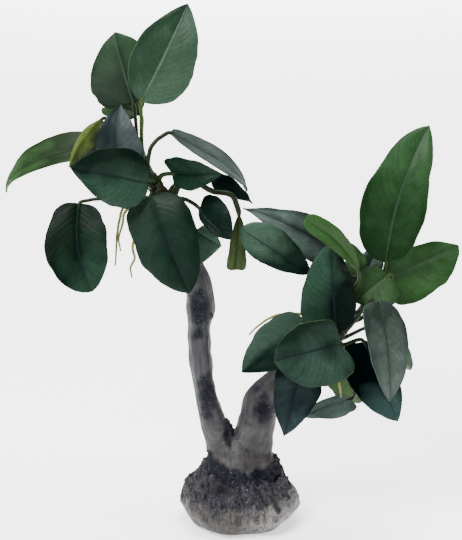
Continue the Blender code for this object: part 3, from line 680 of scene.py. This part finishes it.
def leaf_stalk(name, main):
    """Leaf stalk: smooth, firm and green, brownish in places, with a soft shine like a pea pod."""
    material, shader, add = new_material(name)
    place_on = add("TexCoord").outputs["Object"]
    cloud = add("TexNoise", {"Vector": place_on, "Scale": per_mm(6), "Detail": 3.0})
    share = add("MapRange", {0: cloud, 1: 0.45, 2: 0.75, 3: 0.0, 4: 0.2})
    base = add("Mix", {0: share, 6: colour(main), 7: colour(0x1e1a0c)}, BLEND)
    feed(shader, {"Base Color": base, "Roughness": 0.38, "Specular IOR Level": 0.1})
    return material


def bright_specks(add, place_on, size):
    """1 on scattered bright grains painted as glints, a few in each patch of that many millimetres, and 0
    elsewhere.
    Real ones are too fine to show in the render, so they are drawn as coarse as it needs."""
    grains = add("TexNoise", {"Vector": place_on, "Scale": per_mm(size), "Detail": 4.0, "Roughness": 0.8})
    return add("MapRange", {0: grains, 1: 0.62, 2: 0.72}, SOFTLY)


def grey_driftwood():
    """Driftwood, stripped and worn by water and dried to a silky warm grey: long soft streaks along the
    grain, a few fine checks, and patches of dark, crumbling, rotten wood with painted glints. Painted shade
    darkens the wood right of the middle."""
    material, shader, add = new_material("grey_driftwood")
    grain = add("Attribute", {}, {"attribute_name": "grain"}).outputs["Vector"]
    crack, rotten, hollow = [add("Attribute", {}, {"attribute_name": name}).outputs["Fac"]
                             for name in ("crack", "rotten", "hollow")]
    # Real fibres are too fine to show in the render, so the streaks are as coarse as it needs
    drawn = add("Mapping", {"Vector": grain, "Scale": (1, 1, 0.12)})
    streak = add("TexNoise", {"Vector": drawn, "Scale": per_mm(1.6), "Detail": 5.0, "Roughness": 0.6})
    cloud = add("TexNoise", {"Vector": grain, "Scale": per_mm(11), "Detail": 3.0})
    streaks = add("MapRange", {0: streak, 1: 0.3, 2: 0.7})
    clouds = add("MapRange", {0: cloud, 1: 0.35, 2: 0.65})
    place_on = add("TexCoord").outputs["Object"]
    spot = add("SeparateXYZ", {0: place_on})
    raised = add("MapRange", {0: spot.outputs[2], 1: 25 * MM, 2: 80 * MM})
    cast = add("Mix", {0: raised, 6: colour(0xfffaf4), 7: colour(0xf4f6ff)}, BLEND)
    # Painted shade: the wood right of the middle is darker, where the leaves above shade the right limb
    damp = add("MapRange", {0: spot.outputs[0], 1: -2 * MM, 2: 7 * MM})
    crumb = add("TexNoise", {"Vector": place_on, "Scale": per_mm(1.1), "Detail": 4.0})
    dark = add("Math", {0: crumb, 1: 0.6, 2: rotten}, TIMES_PLUS)
    dark = add("MapRange", {0: dark, 1: 0.35, 2: 1.3})
    crumbs = add("MapRange", {0: crumb, 1: 0.4, 2: 0.7})
    rot = add("Mix", {0: crumbs, 6: colour(0x08090e), 7: colour(0x1f2028)}, BLEND)
    # Painted glints: bright specks in the rot
    specks = bright_specks(add, place_on, 1.5)
    rot = add("Mix", {0: specks, 6: rot, 7: colour(0x5c606b)}, BLEND)
    base = add("Mix", {0: streaks, 6: colour(0x222223), 7: colour(0x3f3e3e)}, BLEND)
    for way, where, over in (
            (STAIN, clouds, colour(0xc2c0c6)), (BLEND, crack, colour(0x1b1b1c)), (STAIN, 1.0, cast),
            (STAIN, damp, colour(0xe6e2de)), (BLEND, dark, rot), (BLEND, hollow, colour(0x0b0b10))):
        base = add("Mix", {0: where, 6: base, 7: over}, way)
    height = add("Math", {0: crumb, 1: rotten, 2: streak}, TIMES_PLUS)
    bump = add("Bump", {"Strength": 0.5, "Distance": 0.35 * MM, "Height": height})
    rough = add("MapRange", {0: dark, 3: 0.55, 4: 0.7})
    shine = add("MapRange", {0: dark, 3: 0.2, 4: 0.06})
    feed(shader, {"Base Color": base, "Roughness": rough, "Normal": bump, "Specular IOR Level": shine})
    return material


def rough_stone():
    """The foot: a crumbling mineral crust, broken into upright splinters, pale below and slate dark above,
    with painted glints on its grains, painted light on its lower right and painted shade in its recesses and
    spots."""
    material, shader, add = new_material("rough_stone")
    slate, bleached, deep = [add("Attribute", {}, {"attribute_name": name}).outputs["Fac"]
                             for name in ("slate", "bleached", "deep")]
    place_on = add("TexCoord").outputs["Object"]
    upright = add("Mapping", {"Vector": place_on, "Scale": (1, 1, 0.3)})
    splinter = add("TexNoise", {"Vector": upright, "Scale": per_mm(1.7), "Detail": 5.0, "Roughness": 0.65})
    grit = add("TexNoise", {"Vector": place_on, "Scale": per_mm(0.8), "Detail": 3.0})
    splinters = add("MapRange", {0: splinter, 1: 0.3, 2: 0.7})
    pale, palest, dark = [add("Mix", {0: splinters, 6: colour(low), 7: colour(high)}, BLEND)
                          for low, high in ((0x1c1a18, 0x3d3a38), (0x4e4b49, 0x8a8785), (0x0b0b10, 0x38373c))]
    # Painted light: a paler copy of the pale crust, for its lit lower right
    pale = add("Mix", {0: bleached, 6: pale, 7: palest}, BLEND)
    # Painted glints: bright specks on the dark crust
    specks = bright_specks(add, place_on, 2.2)
    dark = add("Mix", {0: specks, 6: dark, 7: colour(0x72747f)}, BLEND)
    worn = add("Math", {0: grit, 1: 0.5, 2: slate}, TIMES_PLUS)
    worn = add("MapRange", {0: worn, 1: 0.35, 2: 1.15}, SOFTLY)
    base = add("Mix", {0: worn, 6: pale, 7: dark}, BLEND)
    # Painted shade: darker in the recesses and spots that deep marks
    base = add("Mix", {0: deep, 6: base, 7: colour(0xa09ca0)}, STAIN)
    height = add("Math", {0: grit, 1: 0.6, 2: splinter}, TIMES_PLUS)
    bump = add("Bump", {"Strength": 0.7, "Distance": 0.6 * MM, "Height": height})
    shine = add("MapRange", {0: worn, 3: 0.25, 4: 0.07})
    feed(shader, {"Base Color": base, "Roughness": 0.5, "Normal": bump, "Specular IOR Level": shine})
    return material


def old_stem():
    """Rhizome skin: thick, smooth to the touch, olive going brown, with a soft shine."""
    material, shader, add = new_material("old_stem")
    place_on = add("TexCoord").outputs["Object"]
    cloud = add("TexNoise", {"Vector": place_on, "Scale": per_mm(4), "Detail": 4.0})
    share = add("MapRange", {0: cloud, 1: 0.35, 2: 0.65})
    base = add("Mix", {0: share, 6: colour(0x11190c), 7: colour(0x17150a)}, BLEND)
    bump = add("Bump", {"Strength": 0.5, "Distance": 0.3 * MM, "Height": cloud})
    feed(shader, {"Base Color": base, "Roughness": 0.5, "Normal": bump, "Specular IOR Level": 0.1})
    return material


def living_root():
    """Water root: slim, wiry and yellow-olive, slightly fuzzy, so it is dull."""
    material, shader, add = new_material("living_root")
    place_on = add("TexCoord").outputs["Object"]
    cloud = add("TexNoise", {"Vector": place_on, "Scale": per_mm(3), "Detail": 3.0})
    share = add("MapRange", {0: cloud, 1: 0.35, 2: 0.65})
    base = add("Mix", {0: share, 6: colour(0x45460e), 7: colour(0x66631c)}, BLEND)
    feed(shader, {"Base Color": base, "Roughness": 0.6})
    return material


def make_leaf_finishes():
    for name, finish in LEAF_FINISHES.items():
        leaf_upper(name + "_upper", finish)
        leaf_under(name + "_under", finish.under, finish.main)
        leaf_stalk(name + "_stalk", finish.stalk)


# Driftwood

def wood_axis(table):
    """The middle line of one stretch of wood, with its radius and its way at each spot."""
    points = [place(*row[:3]) for row in table]
    radii = [row[3] * MM for row in table]
    line = []
    for spot, way, position in smooth_path(points, WOOD_STEP * MM):
        lump = 2 * noise.noise(spot / MM / WOOD_LUMP_SIZE)
        line.append((spot, way, between(radii, position) + WOOD_LUMP * MM * lump))
    return line


def grain_places(points, axes):
    """For each point of the skin: a place that runs on smoothly along the grain, and how far round it is.

    The place's first two numbers are square to the nearest limb and the third is along it, so a pattern that
    is drawn out along the third one follows every bend of the wood."""
    total = np.zeros((len(points), 3))
    turns = np.zeros(len(points))
    weights = np.zeros(len(points))
    for line in axes:
        spots = np.array([spot for spot, way, radius in line])
        along = np.concatenate([[0], np.cumsum(np.linalg.norm(np.diff(spots, axis=0), axis=1))])
        sides, others = [], []
        side = Vector((0, -1, 0))
        for spot, way, radius in line:
            side = across_way(way, side)
            sides.append(side.copy())
            others.append(way.cross(side))
        sides, others = np.array(sides), np.array(others)
        away = np.linalg.norm(points[:, None] - spots[None], axis=2) - np.array([row[2] for row in line])
        near = away.argmin(axis=1)
        offset = points - spots[near]
        x = (offset * sides[near]).sum(axis=1)
        y = (offset * others[near]).sum(axis=1)
        here = np.stack([x, y, along[near] + spots[0][2]], axis=1)
        weight = np.exp(-np.clip(away.min(axis=1), -0.01, 0.02) / (WOOD_BLEND * MM))
        total += here * weight[:, None]
        turns += np.arctan2(y, x) * weight
        weights += weight
    return total / weights[:, None], turns / weights


def spot_share(points, spots, ragged):
    """How far each point lies inside the listed spots, from 0 to 1, with ragged rims."""
    share = np.zeros(len(points))
    for across, up, depth, wide, deep, tall in spots:
        middle = np.array(place(across, up, depth))
        gap = (points - middle) / (np.array([wide, deep, tall]) * MM)
        share = np.maximum(share, soft_step(1.4, 0.4, np.linalg.norm(gap, axis=1) + ragged))
    return share


def make_driftwood():
    """The stump, the stub and both limbs in one weathered skin."""
    axes = [wood_axis(table) for table in (STUMP, LEFT_LIMB, RIGHT_LIMB, STUB)]
    stocks = []
    for line in axes:
        stocks.append(tube("stock", [row[0] for row in line], [row[2] for row in line], 48))
    wood = join("driftwood", stocks)
    apply_modifier(wood, "REMESH", mode="VOXEL", voxel_size=WOOD_VOXEL * MM)
    apply_modifier(wood, "SMOOTH", factor=0.5, iterations=6)
    mesh = wood.data
    points, normals = vertex_array(mesh), vertex_array(mesh, "normal")
    grain, turns = grain_places(points, axes)
    streaky = grain * [1, 1, 0.16]
    lumps = noise_at(points, 7.0, 3.1)
    fibres = noise_at(streaky, 1.5, 7.7)
    checks = 1 - np.abs(noise_at(streaky, 4.0, 11.3))
    grooves = np.cos(WOOD_GROOVES * turns + WOOD_TWIST * points[:, 2] / MM + lumps)
    ragged = 0.2 * noise_at(points, 3.5, 5.0) + 0.08 * noise_at(points, 1.4, 9.0)
    rotten = spot_share(points, ROTTEN_SPOTS, ragged)
    hollow = spot_share(points, HOLLOWS, 0.5 * ragged)
    bosses = spot_share(points, BOSSES, 0.4 * ragged)
    pits = noise_at(points, 1.2, 21.0)
    height = GROOVE_SHARE * WOOD_GROOVE * grooves + SKIN_LUMP * lumps + SKIN_FIBRE * fibres
    height = height - SKIN_CHECK * soft_step(0.95, 1.0, checks)
    height = height - (ROT_SINK + ROT_PIT * pits) * rotten - HOLLOW_SINK * hollow + BOSS_RISE * bosses
    # The crusted lower end of the wood, up to the seam as the camera sees it, and its torn skirt
    seen_up = MIDDLE_UP + (points[:, 2] / MM - VIEW_MIDDLE.z) * math.cos(VIEW_TILT)
    seen_up = seen_up - np.abs(points[:, 1] / MM) * math.sin(VIEW_TILT)
    seam = np.interp(points[:, 0] / MM, [row[0] for row in SEAM], [row[1] for row in SEAM])
    crusted = soft_step(1.5, -1.5, seen_up - seam + 5 * ragged)
    low = soft_step(SKIRT_TOP, SEAT_HEIGHT - 2, points[:, 2] / MM)
    torn = 0.6 * noise_at(streaky, 3.0, 31.0) + 0.4 * noise_at(streaky, 1.4, 33.0)
    height = height + SKIRT_SWELL * low * torn
    height = height + crusted * (CRUST_RISE + CRUST_LUMP * noise_at(points, 2.2, 41.0) + CRUST_PIT * pits)
    points = points + normals * height[:, None] * MM
    put_vertices(mesh, points)
    store(mesh, rotten=np.maximum(rotten, crusted), hollow=hollow, crack=soft_step(0.9, 1.0, checks))
    mesh.attributes.new("grain", "FLOAT_VECTOR", "POINT").data.foreach_set("vector", grain.ravel())
    mesh.shade_smooth()
    nodes = ("driftwood_stump", "driftwood_left_limb", "driftwood_right_limb")
    dress(wood, "wood", [grey_driftwood()], *nodes)


# Foot

def foot_reach(turn, radius, height):
    """How far out the mound's side lies, with its lumps, ridges and clumps, in millimetres."""
    spot = Vector((radius * math.cos(turn), radius * math.sin(turn), height))
    lump = 2 * noise.noise(spot / FOOT_LUMP_SIZE)
    ridge = math.cos(FOOT_RIDGES * turn + 2 * lump) * math.sin(math.pi * height / SEAT_HEIGHT)
    high = min(max((height - CLUMPS_START) / (CLUMPS_FULL - CLUMPS_START), 0), 1)
    clump = 2 * noise.noise(spot / FOOT_CLUMP_SIZE) * high
    return radius + FOOT_LUMP * lump + FOOT_RIDGE * ridge + FOOT_CLUMP * clump


def foot_point(turn, position):
    """A point of the mound. position runs from the middle of its underside up its wall to that of its top."""
    last = len(FOOT_PROFILE) - 1
    up_wall = min(max(position - 1, 0), last)
    radius, height = [between([row[i] for row in FOOT_PROFILE], up_wall) for i in (0, 1)]
    reach = foot_reach(turn, radius, height) * min(1, position, last + 2 - position)
    return Vector((reach * math.cos(turn), reach * math.sin(turn), height)) * MM


def back_crumbs():
    """The crumbs behind the wood, as x, y, z and radius, each a little off its even place."""
    crumbs = []
    for k in range(BACK_CRUMBS):
        turn = math.pi * (k + 0.5) / BACK_CRUMBS
        luck = noise.noise(Vector((1.7 * k, 0.3, 0.6)))
        out = CRUMB_OUT[0] + CRUMB_OUT[1] * luck
        up = CRUMB_UP[0] - CRUMB_UP[1] * luck
        radius = CRUMB_RADIUS[0] + CRUMB_RADIUS[1] * math.sin(2.4 * k)
        crumbs.append((out * math.cos(turn), out * math.sin(turn), up, radius))
    return crumbs


def make_foot():
    """The mound, turned from its profile. Its wall is finely splintered upright, and its top crumbles."""
    bpy.ops.object.select_all(action="DESELECT")
    bpy.ops.mesh.primitive_grid_add(x_subdivisions=240, y_subdivisions=110, size=2)
    foot = bpy.context.object
    foot.name = foot.data.name = "rough_foot"
    mesh = foot.data
    rows = len(FOOT_PROFILE) + 1
    put_vertices(mesh, [foot_point(math.pi * (x + 1), (y + 1) / 2 * rows) for x, y, z in vertex_array(mesh)])
    merge_close(foot, 0.01 * MM)
    crumbs = []
    for x, y, z, radius in (*CRUST, *back_crumbs()):
        bpy.ops.object.select_all(action="DESELECT")
        bpy.ops.mesh.primitive_ico_sphere_add(subdivisions=3, radius=radius * MM,
                                              location=(x * MM, y * MM, z * MM), scale=(1, 1, 0.8))
        crumbs.append(bpy.context.object)
    foot = join("rough_foot", [foot] + crumbs)
    apply_modifier(foot, "REMESH", mode="VOXEL", voxel_size=FOOT_VOXEL * MM)
    apply_modifier(foot, "SMOOTH", factor=0.5, iterations=4)
    points, normals = vertex_array(mesh), vertex_array(mesh, "normal")
    up = points[:, 2] / MM
    upright = points * [1, 1, 0.2]
    splinters = noise_at(upright, 1.3, 3.0)
    clumps = noise_at(points, 4.0, 8.0)
    grit = noise_at(points, 1.0, 15.0)
    patches = noise_at(points, 8.0, 2.0)
    lower = 4.5 * soft_step(5, 22, points[:, 0] / MM)
    slate = soft_step(10.5, 19, up - lower + 4 * patches + 2.5 * clumps + 1.2 * splinters)
    crumbled = 0.25 + 0.75 * soft_step(8, 16, up + 3 * patches)
    knobs = noise_at(points, 2.3, 27.0)
    height = FOOT_SKIN_CLUMP * clumps + FOOT_SKIN_SPLINTER * splinters + FOOT_SKIN_GRIT * grit
    height = height * crumbled + FOOT_SKIN_KNOB * knobs * slate
    height = height * soft_step(0.0, 2.0, up)
    points = points + normals * height[:, None] * MM
    points[:, 2] = np.maximum(points[:, 2], 0)
    put_vertices(mesh, points)
    # Painted shade: the crust is darker where its relief sinks, and in the shade spots
    deep = soft_step(0.0, -0.8, 0.5 * splinters + 0.5 * grit + 0.3 * clumps)
    deep = np.maximum(deep, spot_share(points, DAMP_SPOTS, 0.3 * clumps + 0.15 * grit))
    # Painted light: the crust is paler low on the right, where the light falls on it
    bleached = soft_step(-4, 24, points[:, 0] / MM) * soft_step(24, 7, up + patches)
    store(mesh, slate=slate, deep=deep, bleached=bleached)
    mesh.shade_smooth()
    dress(foot, "rock", [rough_stone()], "rock_foot")


# Creeping stems and roots

def rhizome_line(plant, step):
    """Spots along a creeping stem, about step millimetres apart, each with its way and place in the table."""
    return smooth_path([place(*row[:3]) for row in RHIZOMES[plant]], step * MM)


def make_rhizome(plant):
    """A creeping stem, ringed by the scars of old leaves."""
    radii = [row[3] for row in RHIZOMES[plant]]
    line = rhizome_line(plant, RHIZOME_STEP)
    widths = []
    for spot, way, position in line:
        ring = abs(math.sin(math.pi * position * RINGS))
        end = min(1, position * 3 + 0.35, (len(radii) - 1 - position) * 3 + 0.35)
        widths.append((between(radii, position) + RING_HEIGHT * ring**0.5 - RING_SINK) * end**0.5 * MM)
    stem = tube(plant + "_stem", [row[0] for row in line], widths, 40)
    mesh = stem.data
    points, normals = vertex_array(mesh), vertex_array(mesh, "normal")
    height = STEM_LUMP * noise_at(points, 2.5, 4.0) + STEM_GRAIN * noise_at(points, 0.8, 6.0)
    put_vertices(mesh, points + normals * height[:, None] * MM)
    mesh.shade_smooth()
    dress(stem, "rhizome", [old_stem()], plant + "_rhizome")


def make_root(name):
    """A thin root that wavers a little and thins towards its tip."""
    points = [place(*row) for row in ROOTS[name]]
    line = smooth_path(points, ROOT_STEP * MM)
    spots, widths = [], []
    for spot, way, position in line:
        share = position / (len(points) - 1)
        seed = spot / (ROOT_WAVER_SIZE * MM)
        waver = Vector((noise.noise(seed), noise.noise(seed + Vector((5, 5, 5))), 0))
        spots.append(spot + waver * ROOT_WAVER * MM * min(1, 4 * share))
        widths.append(ROOT_RADIUS * MM * (1 - ROOT_TAPER * share**2))
    root = tube(name + "_fine", spots, widths, 10)
    root.data.shade_smooth()
    dress(root, "root", [living_root()], name)


# Leaves

class Blade:
    """The curved midrib of a leaf, and the shape of the blade on both sides of it."""

    def __init__(self, leaf):
        self.leaf = leaf
        self.heel = place(*leaf.heel)
        self.tip = place(*leaf.tip)
        along = (self.tip - self.heel).normalized()
        self.length = (self.tip - self.heel).length
        self.normal = across_way(along, Vector(leaf.facing))
        self.side = along.cross(self.normal)
        rise, droop = math.radians(leaf.rise), math.radians(leaf.droop)
        third = self.length / 3
        self.rising = self.heel + third * (math.cos(rise) * along + math.sin(rise) * self.normal)
        self.falling = self.tip + third * (math.sin(droop) * self.normal - math.cos(droop) * along)
        self.half = leaf.width * MM / 2
        self.base_power = HEEL_ROUND * leaf.base
        self.tip_power = TIP_POINT * leaf.blunt
        widest = self.base_power / (self.base_power + self.tip_power)
        self.peak = widest**self.base_power * (1 - widest) ** self.tip_power
        self.veins = max(5, round(self.length / MM / VEIN_SPACING))
        self.own = self.tip / MM

    def spine(self, t):
        """The midrib's place, its way, and the way to one side there."""
        a, b, c, d = self.heel, self.rising, self.falling, self.tip
        s = 1 - t
        spot = a * s**3 + b * 3 * s * s * t + c * 3 * s * t * t + d * t**3
        way = (b - a) * s * s + (c - b) * 2 * s * t + (d - c) * t * t
        bow = self.leaf.sway * self.length
        spot = spot + self.side * (bow * 4 * t * s)
        way = (way * 3 + self.side * (bow * 4 * (s - t))).normalized()
        return spot, way, way.cross(across_way(way, self.normal))

    def half_width(self, t):
        return self.half * t**self.base_power * (1 - t) ** self.tip_power / self.peak

    def point(self, t, across, lift):
        """A point of the blade: across runs from -1 to 1, and lift is the height over its middle layer."""
        leaf = self.leaf
        spot, way, side = self.spine(t)
        sign = math.copysign(1, across)
        uneven = noise.noise(Vector((t * 4, 3 * sign, 20)) + self.own)
        uneven = uneven + 0.4 * noise.noise(Vector((t * 11, 3 * sign, 40)))
        out = abs(across) * self.half_width(t) * (1 + sign * leaf.skew) * (1 + UNEVEN * uneven)
        rise = leaf.fold * out + leaf.cup * out * out / self.half
        share = leaf.lobe * (1 + LOBE_SKEW * sign * leaf.skew)
        back = share * self.length * (out / self.half) ** LOBE_ROUND * (1 - t) ** 3
        return spot + side * (sign * out) + side.cross(way) * (rise + lift) - way * back

    def relief(self, t, across):
        """How far the surface swells between its veins and sinks along them, and how its margin waves."""
        out = abs(across)
        wide = min(1, self.half_width(t) / (0.35 * self.half))
        phase = self.veins * (t - VEIN_SLOPE * out**VEIN_BEND) + (0.5 if across > 0 else 0)
        swell = 0.5 - 0.5 * math.cos(2 * math.pi * phase)
        between_veins = SWELL * swell**0.6 * min(1, 5 * out) * min(1, 5 * (1 - out)) * wide
        channel = -CHANNEL * math.exp(-((out * self.half_width(t) / (CHANNEL_WIDTH * MM)) ** 2))
        wave = noise.noise(Vector((t * 3.1, 2 * math.copysign(1, across), 0)) + self.own)
        ripple = noise.noise(Vector((across * 1.6, t * 4.0, 7)) + self.own)
        return (between_veins + channel + WAVE * wave * out**3 * wide + RIPPLE * ripple * out) * MM


def stalk_line(leaf, blade):
    """The stalk's middle line, from inside the creeping stem to the heel of the blade."""
    places = rhizome_line(leaf.plant, STALK_PLACES)
    spot, way, position = places[round(leaf.foot * (len(places) - 1))]
    radii = [row[3] * MM for row in RHIZOMES[leaf.plant]]
    radius = between(radii, leaf.foot * (len(radii) - 1)) + RHIZOME_SCAR * MM
    via = [place(*row) for row in leaf.via]
    outwards = across_way(way, (via + [blade.heel])[0] - spot)
    foot = spot + outwards * (radius + (0.3 + STALK_RADIUS * math.sin(STALK_LEAN)) * MM)
    first_way = outwards * math.cos(STALK_LEAN) + way * math.sin(STALK_LEAN)
    line = smooth_path([foot, *via, blade.heel], STALK_STEP * MM, first_way, blade.spine(0)[1])
    return [foot - first_way * 2.2 * MM] + [row[0] for row in line]


def make_stalk(name, leaf, blade):
    """The stalk and the midrib in one tapering stem, thick at its sheathing foot and fine at the tip."""
    line = stalk_line(leaf, blade)
    stout = STOUT_STALKS.get(name, 0)
    spots, widths = [], []
    for i, spot in enumerate(line):
        sheath = SHEATH * math.exp(-i * STALK_STEP / SHEATH_REACH)
        spots.append(spot)
        widths.append((STALK_RADIUS - 0.02 + sheath + stout * min(1, (len(line) - 1 - i) / 2)) * MM)
    for k in range(1, MIDRIB_STEPS - 1):
        t = k / MIDRIB_STEPS
        width = (MIDRIB_RADIUS * (1 - t) ** 0.8 + MIDRIB_TIP + MIDRIB_HEEL * math.exp(-k / 3)) * MM
        spots.append(blade.point(t, 0, -min(0.8, 0.2 * k) * width - 0.05 * MM))
        widths.append(width)
    stalk = tube(name + "_stalk", spots, widths, 12)
    stalk.data.shade_smooth()
    return stalk


def make_sheet(blade):
    """The blade: a grid drawn onto the leaf's shape, given its thickness, thin at the margin."""
    bpy.ops.object.select_all(action="DESELECT")
    bpy.ops.mesh.primitive_grid_add(x_subdivisions=BLADE_COLUMNS, y_subdivisions=BLADE_ROWS, size=2)
    sheet = bpy.context.object
    mesh = sheet.data
    flat = vertex_array(mesh)
    acrosses = np.sign(flat[:, 0]) * np.abs(flat[:, 0]) ** 1.15
    shares = 0.5 - 0.5 * np.cos(0.5 * math.pi * (flat[:, 1] + 1))
    layer = mesh.uv_layers.active.data
    for loop in mesh.loops:
        layer[loop.index].uv = (0.5 + 0.5 * acrosses[loop.vertex_index], shares[loop.vertex_index])
    points = []
    for across, t in zip(acrosses, shares):
        points.append(blade.point(t, across, blade.relief(t, across)))
    put_vertices(mesh, points)
    thick = sheet.vertex_groups.new(name="thick")
    for index, across in enumerate(acrosses):
        thick.add([index], 1 - abs(across) ** 3, "REPLACE")
    merge_close(sheet, 0.005 * MM)
    apply_modifier(sheet, "SOLIDIFY", thickness=BLADE_THICKNESS * MM, offset=0, vertex_group="thick",
                   thickness_vertex_group=0.35, material_offset=1)
    sheet.data.shade_smooth()
    return sheet


def make_leaf(name):
    """One leaf: the upper side, the under side and the stalk each have their own finish."""
    leaf = LEAVES[name]
    blade = Blade(leaf)
    sheet = make_sheet(blade)
    stalk = make_stalk(name, leaf, blade)
    for kind in ("upper", "under", "stalk"):
        sheet.data.materials.append(bpy.data.materials[name + "_" + kind])
    stalk.data.materials.append(bpy.data.materials[name + "_stalk"])
    piece = join(name.replace("leaf_", "blade_"), [sheet, stalk])
    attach(piece, "root")
    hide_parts(name)


# Studio

def make_floor():
    """A pale, matt table top, far wider than the view."""
    bpy.ops.object.select_all(action="DESELECT")
    bpy.ops.mesh.primitive_plane_add(size=8)
    floor = bpy.context.object
    floor.name = floor.data.name = "floor"
    material, shader, _ = new_material("matt_white_table")
    feed(shader, {"Base Color": colour(0xfafafa), "Roughness": 0.9, "Emission Color": colour(0xffffff),
                  "Emission Strength": 1.0})
    floor.data.materials.append(material)


def add_lamp(name, spot, aim, size, watts, spread=180):
    """A soft square lamp at spot, turned towards aim, with its light kept within spread degrees."""
    bpy.ops.object.light_add(type="AREA", location=spot)
    lamp = bpy.context.object
    lamp.name = name
    lamp.rotation_euler = (Vector(aim) - Vector(spot)).to_track_quat("-Z", "Y").to_euler()
    lamp.data.size = size
    lamp.data.energy = watts
    lamp.data.spread = math.radians(spread)


def make_studio():
    make_floor()
    middle = VIEW_MIDDLE * MM
    add_lamp("top_light", (0.1, 0.25, 1.5), middle, 1.3, 75)
    add_lamp("key_light", (-0.75, -0.85, 1.2), middle, 0.6, 55)
    add_lamp("fill_light", (1.1, -0.7, 0.6), middle, 1.0, 5)
    add_lamp("far_table_light", (0, 2.9, 1.6), (0, 3.0, 0), 2.4, 330, 100)
    world = bpy.data.worlds.new("studio")
    bpy.context.scene.world = world
    world.use_nodes = True
    feed(world.node_tree.nodes["Background"], {"Color": colour(0xf7f8fa), "Strength": 0.3})
    bpy.ops.object.camera_add(location=EYE * MM)
    camera = bpy.context.object
    camera.name = "camera"
    camera.rotation_euler = (middle - EYE * MM).to_track_quat("-Z", "Y").to_euler()
    camera.data.lens = 160
    camera.data.sensor_width = 36
    camera.data.clip_start = 0.01
    bpy.context.scene.camera = camera


make_studio()
make_leaf_finishes()
make_foot()
make_driftwood()
for plant in RHIZOMES:
    make_rhizome(plant)
for name in ROOTS:
    make_root(name)
for name in LEAVES:
    make_leaf(name)
